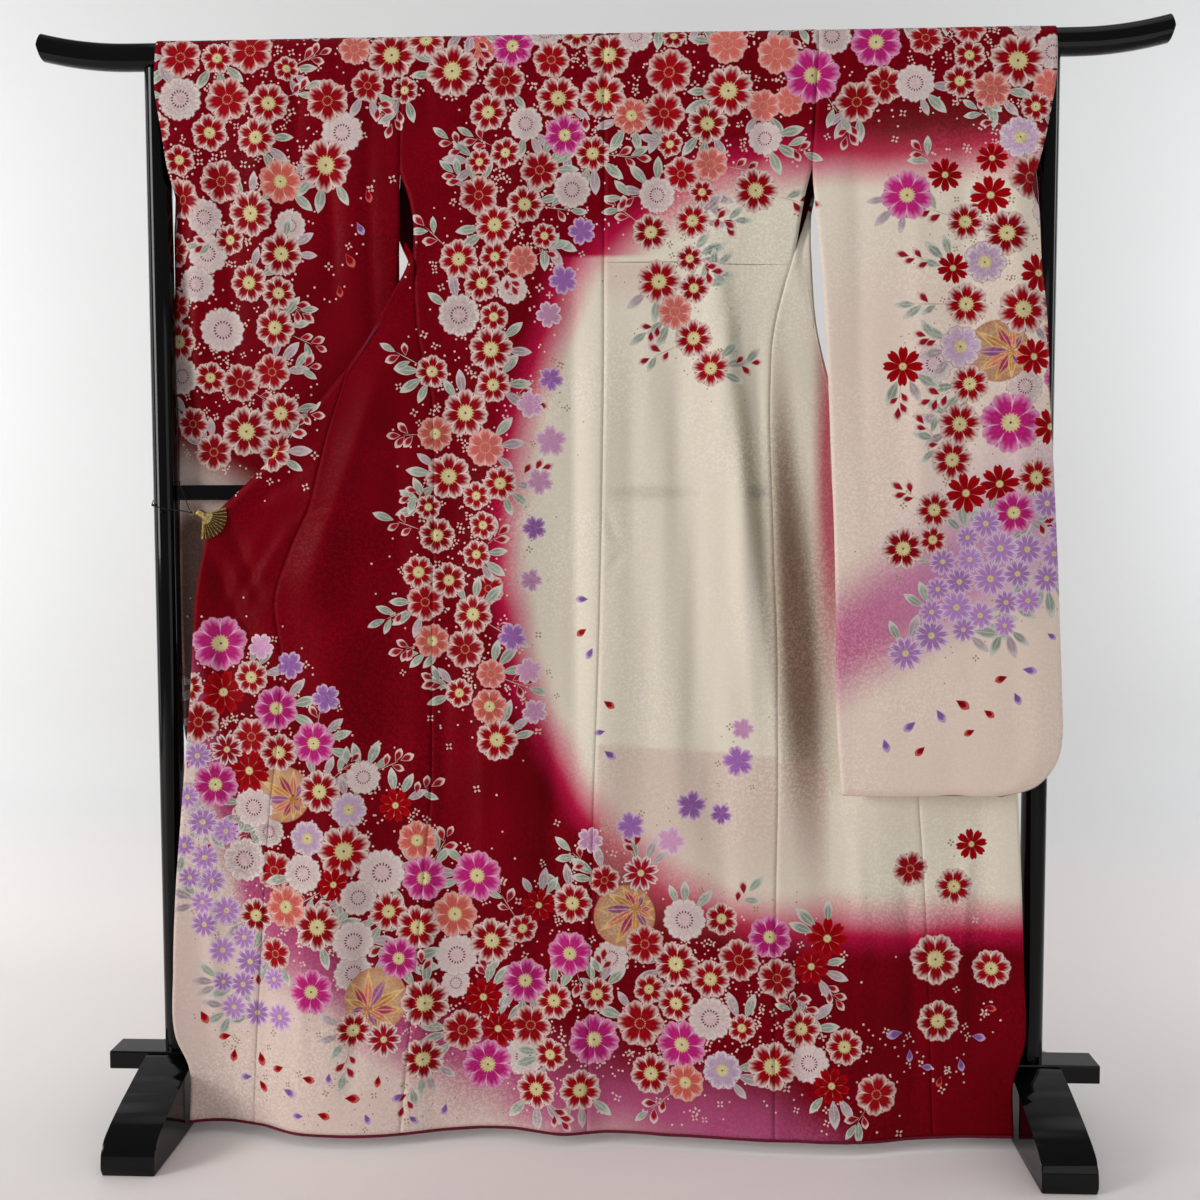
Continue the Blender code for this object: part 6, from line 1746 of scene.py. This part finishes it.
def cloth(node, rows, print_row, materials, motifs, flat, area=None, seams=(0, -1), table=(), far_table=(),
          rests_on=("top_bar",), piece="body", both=False):
    """One fine, creased and printed piece of cloth, which stands for a node of the solids."""
    coarse = np.array([[tuple(p) for p in row] for row in rows], float)
    chord = np.linalg.norm(np.diff(coarse, axis=0), axis=2).mean(axis=1)
    counts = np.maximum(1, np.round(np.maximum(chord, 1e-5) / STEP).astype(int))
    grid = smoothed(smoothed(coarse, 0, STEP), 1, STEP)
    fine_row = int(counts[:print_row].sum())
    grid = near_seams(creased(grid, fine_row, table, far_table), seams)
    obj, place, faces, count = shell(f"cloth_{node}", grid, SHELL, materials, fine_row, PRINT_SIDE, both)
    dye_and_shade = np.concatenate([ground_dye_and_shade(place, piece), np.ones((len(place), 1))], axis=1)
    attribute = obj.data.attributes.new("ground_dye_and_shade", "FLOAT_COLOR", "POINT")
    attribute.data.foreach_set("color", dye_and_shade.astype(np.float32).ravel())
    lay_motifs(obj.data, place, faces, count, motifs)
    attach(obj, "root")
    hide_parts(node)


def main():
    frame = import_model()
    group = motif_group()
    silk = silk_material(group)
    lining = plain_silk("silk_lining_cloth", srgb(86, 18, 34), srgb(122, 36, 56))
    motifs = printed_motifs()
    both = [silk, lining]
    left = wing_rows("left_okumi", "left_edge", LEFT_SIDE, LEFT_OKUMI, LEFT_EDGE)
    right = wing_rows("right_okumi", "right_edge", RIGHT_SIDE, RIGHT_OKUMI, RIGHT_EDGE)
    left_sleeve = sleeve_rows(LEFT_SLEEVE_NEAR, LEFT_SLEEVE_FAR, CLOSED_BELOW_LEFT)
    right_sleeve = sleeve_rows(RIGHT_SLEEVE_NEAR, RIGHT_SLEEVE_FAR, CLOSED_BELOW_RIGHT)
    body = {"table": BODY_CREASES}
    panel = {"table": BODY_CREASES, "seams": (0,)}
    sleeve = {"far_table": FAR_CREASES, "seams": (0,)}
    for node, (rows, start), flat, area, more in (
        ("back_left", back_rows(LEFT_SIDE, LEFT_TOP[0].armhole[0]), (0.30, 1.66), None, body),
        ("back_right", back_rows(RIGHT_SIDE, RIGHT_TOP[0].armhole[0]), (0.31, 1.66), None, body),
        ("front_left", front_rows(LEFT_TOP, left), (0.27, 1.66), 0.335, body),
        ("front_right", front_rows(RIGHT_TOP, right), (0.25, 1.66), 0.31, body),
        ("okumi_left", okumi_rows(LEFT_OKUMI_TOP, left), (0.17, 1.20), 0.16, panel),
        ("okumi_right", okumi_rows(RIGHT_OKUMI_TOP, right), (0.18, 1.15), 0.15, panel),
        ("sleeve_left", left_sleeve, (0.35, 2.24), None,
         sleeve | {"table": LEFT_SLEEVE_CREASES, "piece": "left_sleeve"}),
        ("sleeve_right", right_sleeve, (0.34, 2.24), None,
         sleeve | {"table": RIGHT_SLEEVE_CREASES, "piece": "right_sleeve"}),
    ):
        cloth(node, rows, start, both, motifs, flat, area, **more)
    for side, bands, length in (("left", LEFT_COLLAR, 0.92), ("right", RIGHT_COLLAR, 0.95)):
        cloth(f"collar_{side}", collar_rows(bands), 0, both, motifs, (0.062, length), seams=(0,),
              rests_on=(f"cloth_front_{side}", f"cloth_okumi_{side}"), both=True)
    cloth("over_collar", over_collar_rows(), 0, both, motifs, (0.055, 0.74), seams=(),
          rests_on=("cloth_collar_left", "cloth_collar_right"), both=True)
    hem_roll(lining, left, right)
    lacquer, metal, thread = lacquer_material(), gold_material(), thread_material()
    # The fan's dark leaf: painted shadow of its pleats
    shade = plain_silk("clip_painted_pleat_shadow", srgb(52, 34, 14), srgb(84, 60, 26), roughness=0.45)
    lacquered_bar(lacquer)
    for side, x in (("left", -POST_X), ("right", POST_X)):
        lacquered_post(f"lacquer_post_{side}", x, f"post_{side}", lacquer)
        lacquered_foot(f"lacquer_foot_{side}", x, f"foot_{side}", lacquer)
    clip_fan(metal, shade)
    clip_spring(metal)
    thread_knots(thread)
    for name, node in frame["nodes"].items():
        if name.startswith("clip_thread"):
            finish = thread
        elif name.startswith("clip"):
            finish = metal
        elif name in STAND_NODES:
            finish = lacquer
        else:
            finish = lining
        for s in node.material_slots:
            s.material = finish
    stage_and_light()


def area_light(light):
    data = bpy.data.lights.new(light.name, "AREA")
    data.shape = "RECTANGLE"
    data.size, data.size_y = light.size
    data.energy = light.power
    data.color = light.colour
    obj = bpy.data.objects.new(light.name, data)
    obj.location = light.place
    obj.rotation_euler = (Vector(light.target) - Vector(light.place)).to_track_quat("-Z", "Y").to_euler()
    bpy.context.scene.collection.objects.link(obj)


def sweep_material():
    """A pale ground, warmer on the floor than on the wall."""
    made, n, shader = new_material("studio_ground", 0.6)
    place = n.add("ShaderNodeTexCoord").outputs["Object"]
    wall = n.mix(n.noise(place, 1.5), (0.73, 0.74, 0.73, 1.0), (0.79, 0.79, 0.79, 1.0))
    height = n.add("ShaderNodeSeparateXYZ")
    n.put(height.inputs[0], place)
    rise = n.ramp(height.outputs[2], 0.0, 0.3)
    n.put(shader.inputs["Base Color"], n.mix(rise, (0.96, 0.90, 0.875, 1.0), wall))
    n.put(shader.inputs["Roughness"], 0.55)
    return made


def studio_sweep():
    ground = sweep_material()
    mesh = bmesh.new()
    curve_y = SWEEP_BACK - SWEEP_RADIUS
    line = [(SWEEP_FRONT, 0.0), (curve_y, 0.0)]
    line += [(curve_y + SWEEP_RADIUS * math.sin(a), SWEEP_RADIUS - SWEEP_RADIUS * math.cos(a))
             for a in (math.pi / 2 * k / SWEEP_STEPS for k in range(1, SWEEP_STEPS + 1))]
    line += [(SWEEP_BACK, SWEEP_RISE)]
    near = [mesh.verts.new((-SWEEP_HALF_WIDTH, y, z)) for y, z in line]
    far = [mesh.verts.new((SWEEP_HALF_WIDTH, y, z)) for y, z in line]
    for k in range(len(line) - 1):
        mesh.faces.new((near[k], near[k + 1], far[k + 1], far[k]))
    mesh_object("studio_sweep", mesh, [ground])


def stage_and_light():
    studio_sweep()
    for light in LIGHTS:
        area_light(light)
    world = bpy.data.worlds.new("studio")
    world.use_nodes = True
    background = world.node_tree.nodes["Background"]
    background.inputs["Color"].default_value = WORLD_COLOUR
    background.inputs["Strength"].default_value = WORLD_STRENGTH
    bpy.context.scene.world = world
    bpy.context.scene.view_settings.view_transform = "Standard"

    data = bpy.data.cameras.new("camera")
    data.sensor_width = 36.0
    data.lens = CAMERA_LENS
    data.clip_start = 0.05
    camera = bpy.data.objects.new("camera", data)
    camera.location = CAMERA_PLACE
    camera.rotation_mode = "QUATERNION"
    facing = Euler((math.pi / 2 - CAMERA_PITCH, 0.0, CAMERA_YAW)).to_quaternion()
    camera.rotation_quaternion = facing @ Euler((0.0, 0.0, CAMERA_ROLL)).to_quaternion()
    bpy.context.scene.collection.objects.link(camera)
    bpy.context.scene.camera = camera


main()
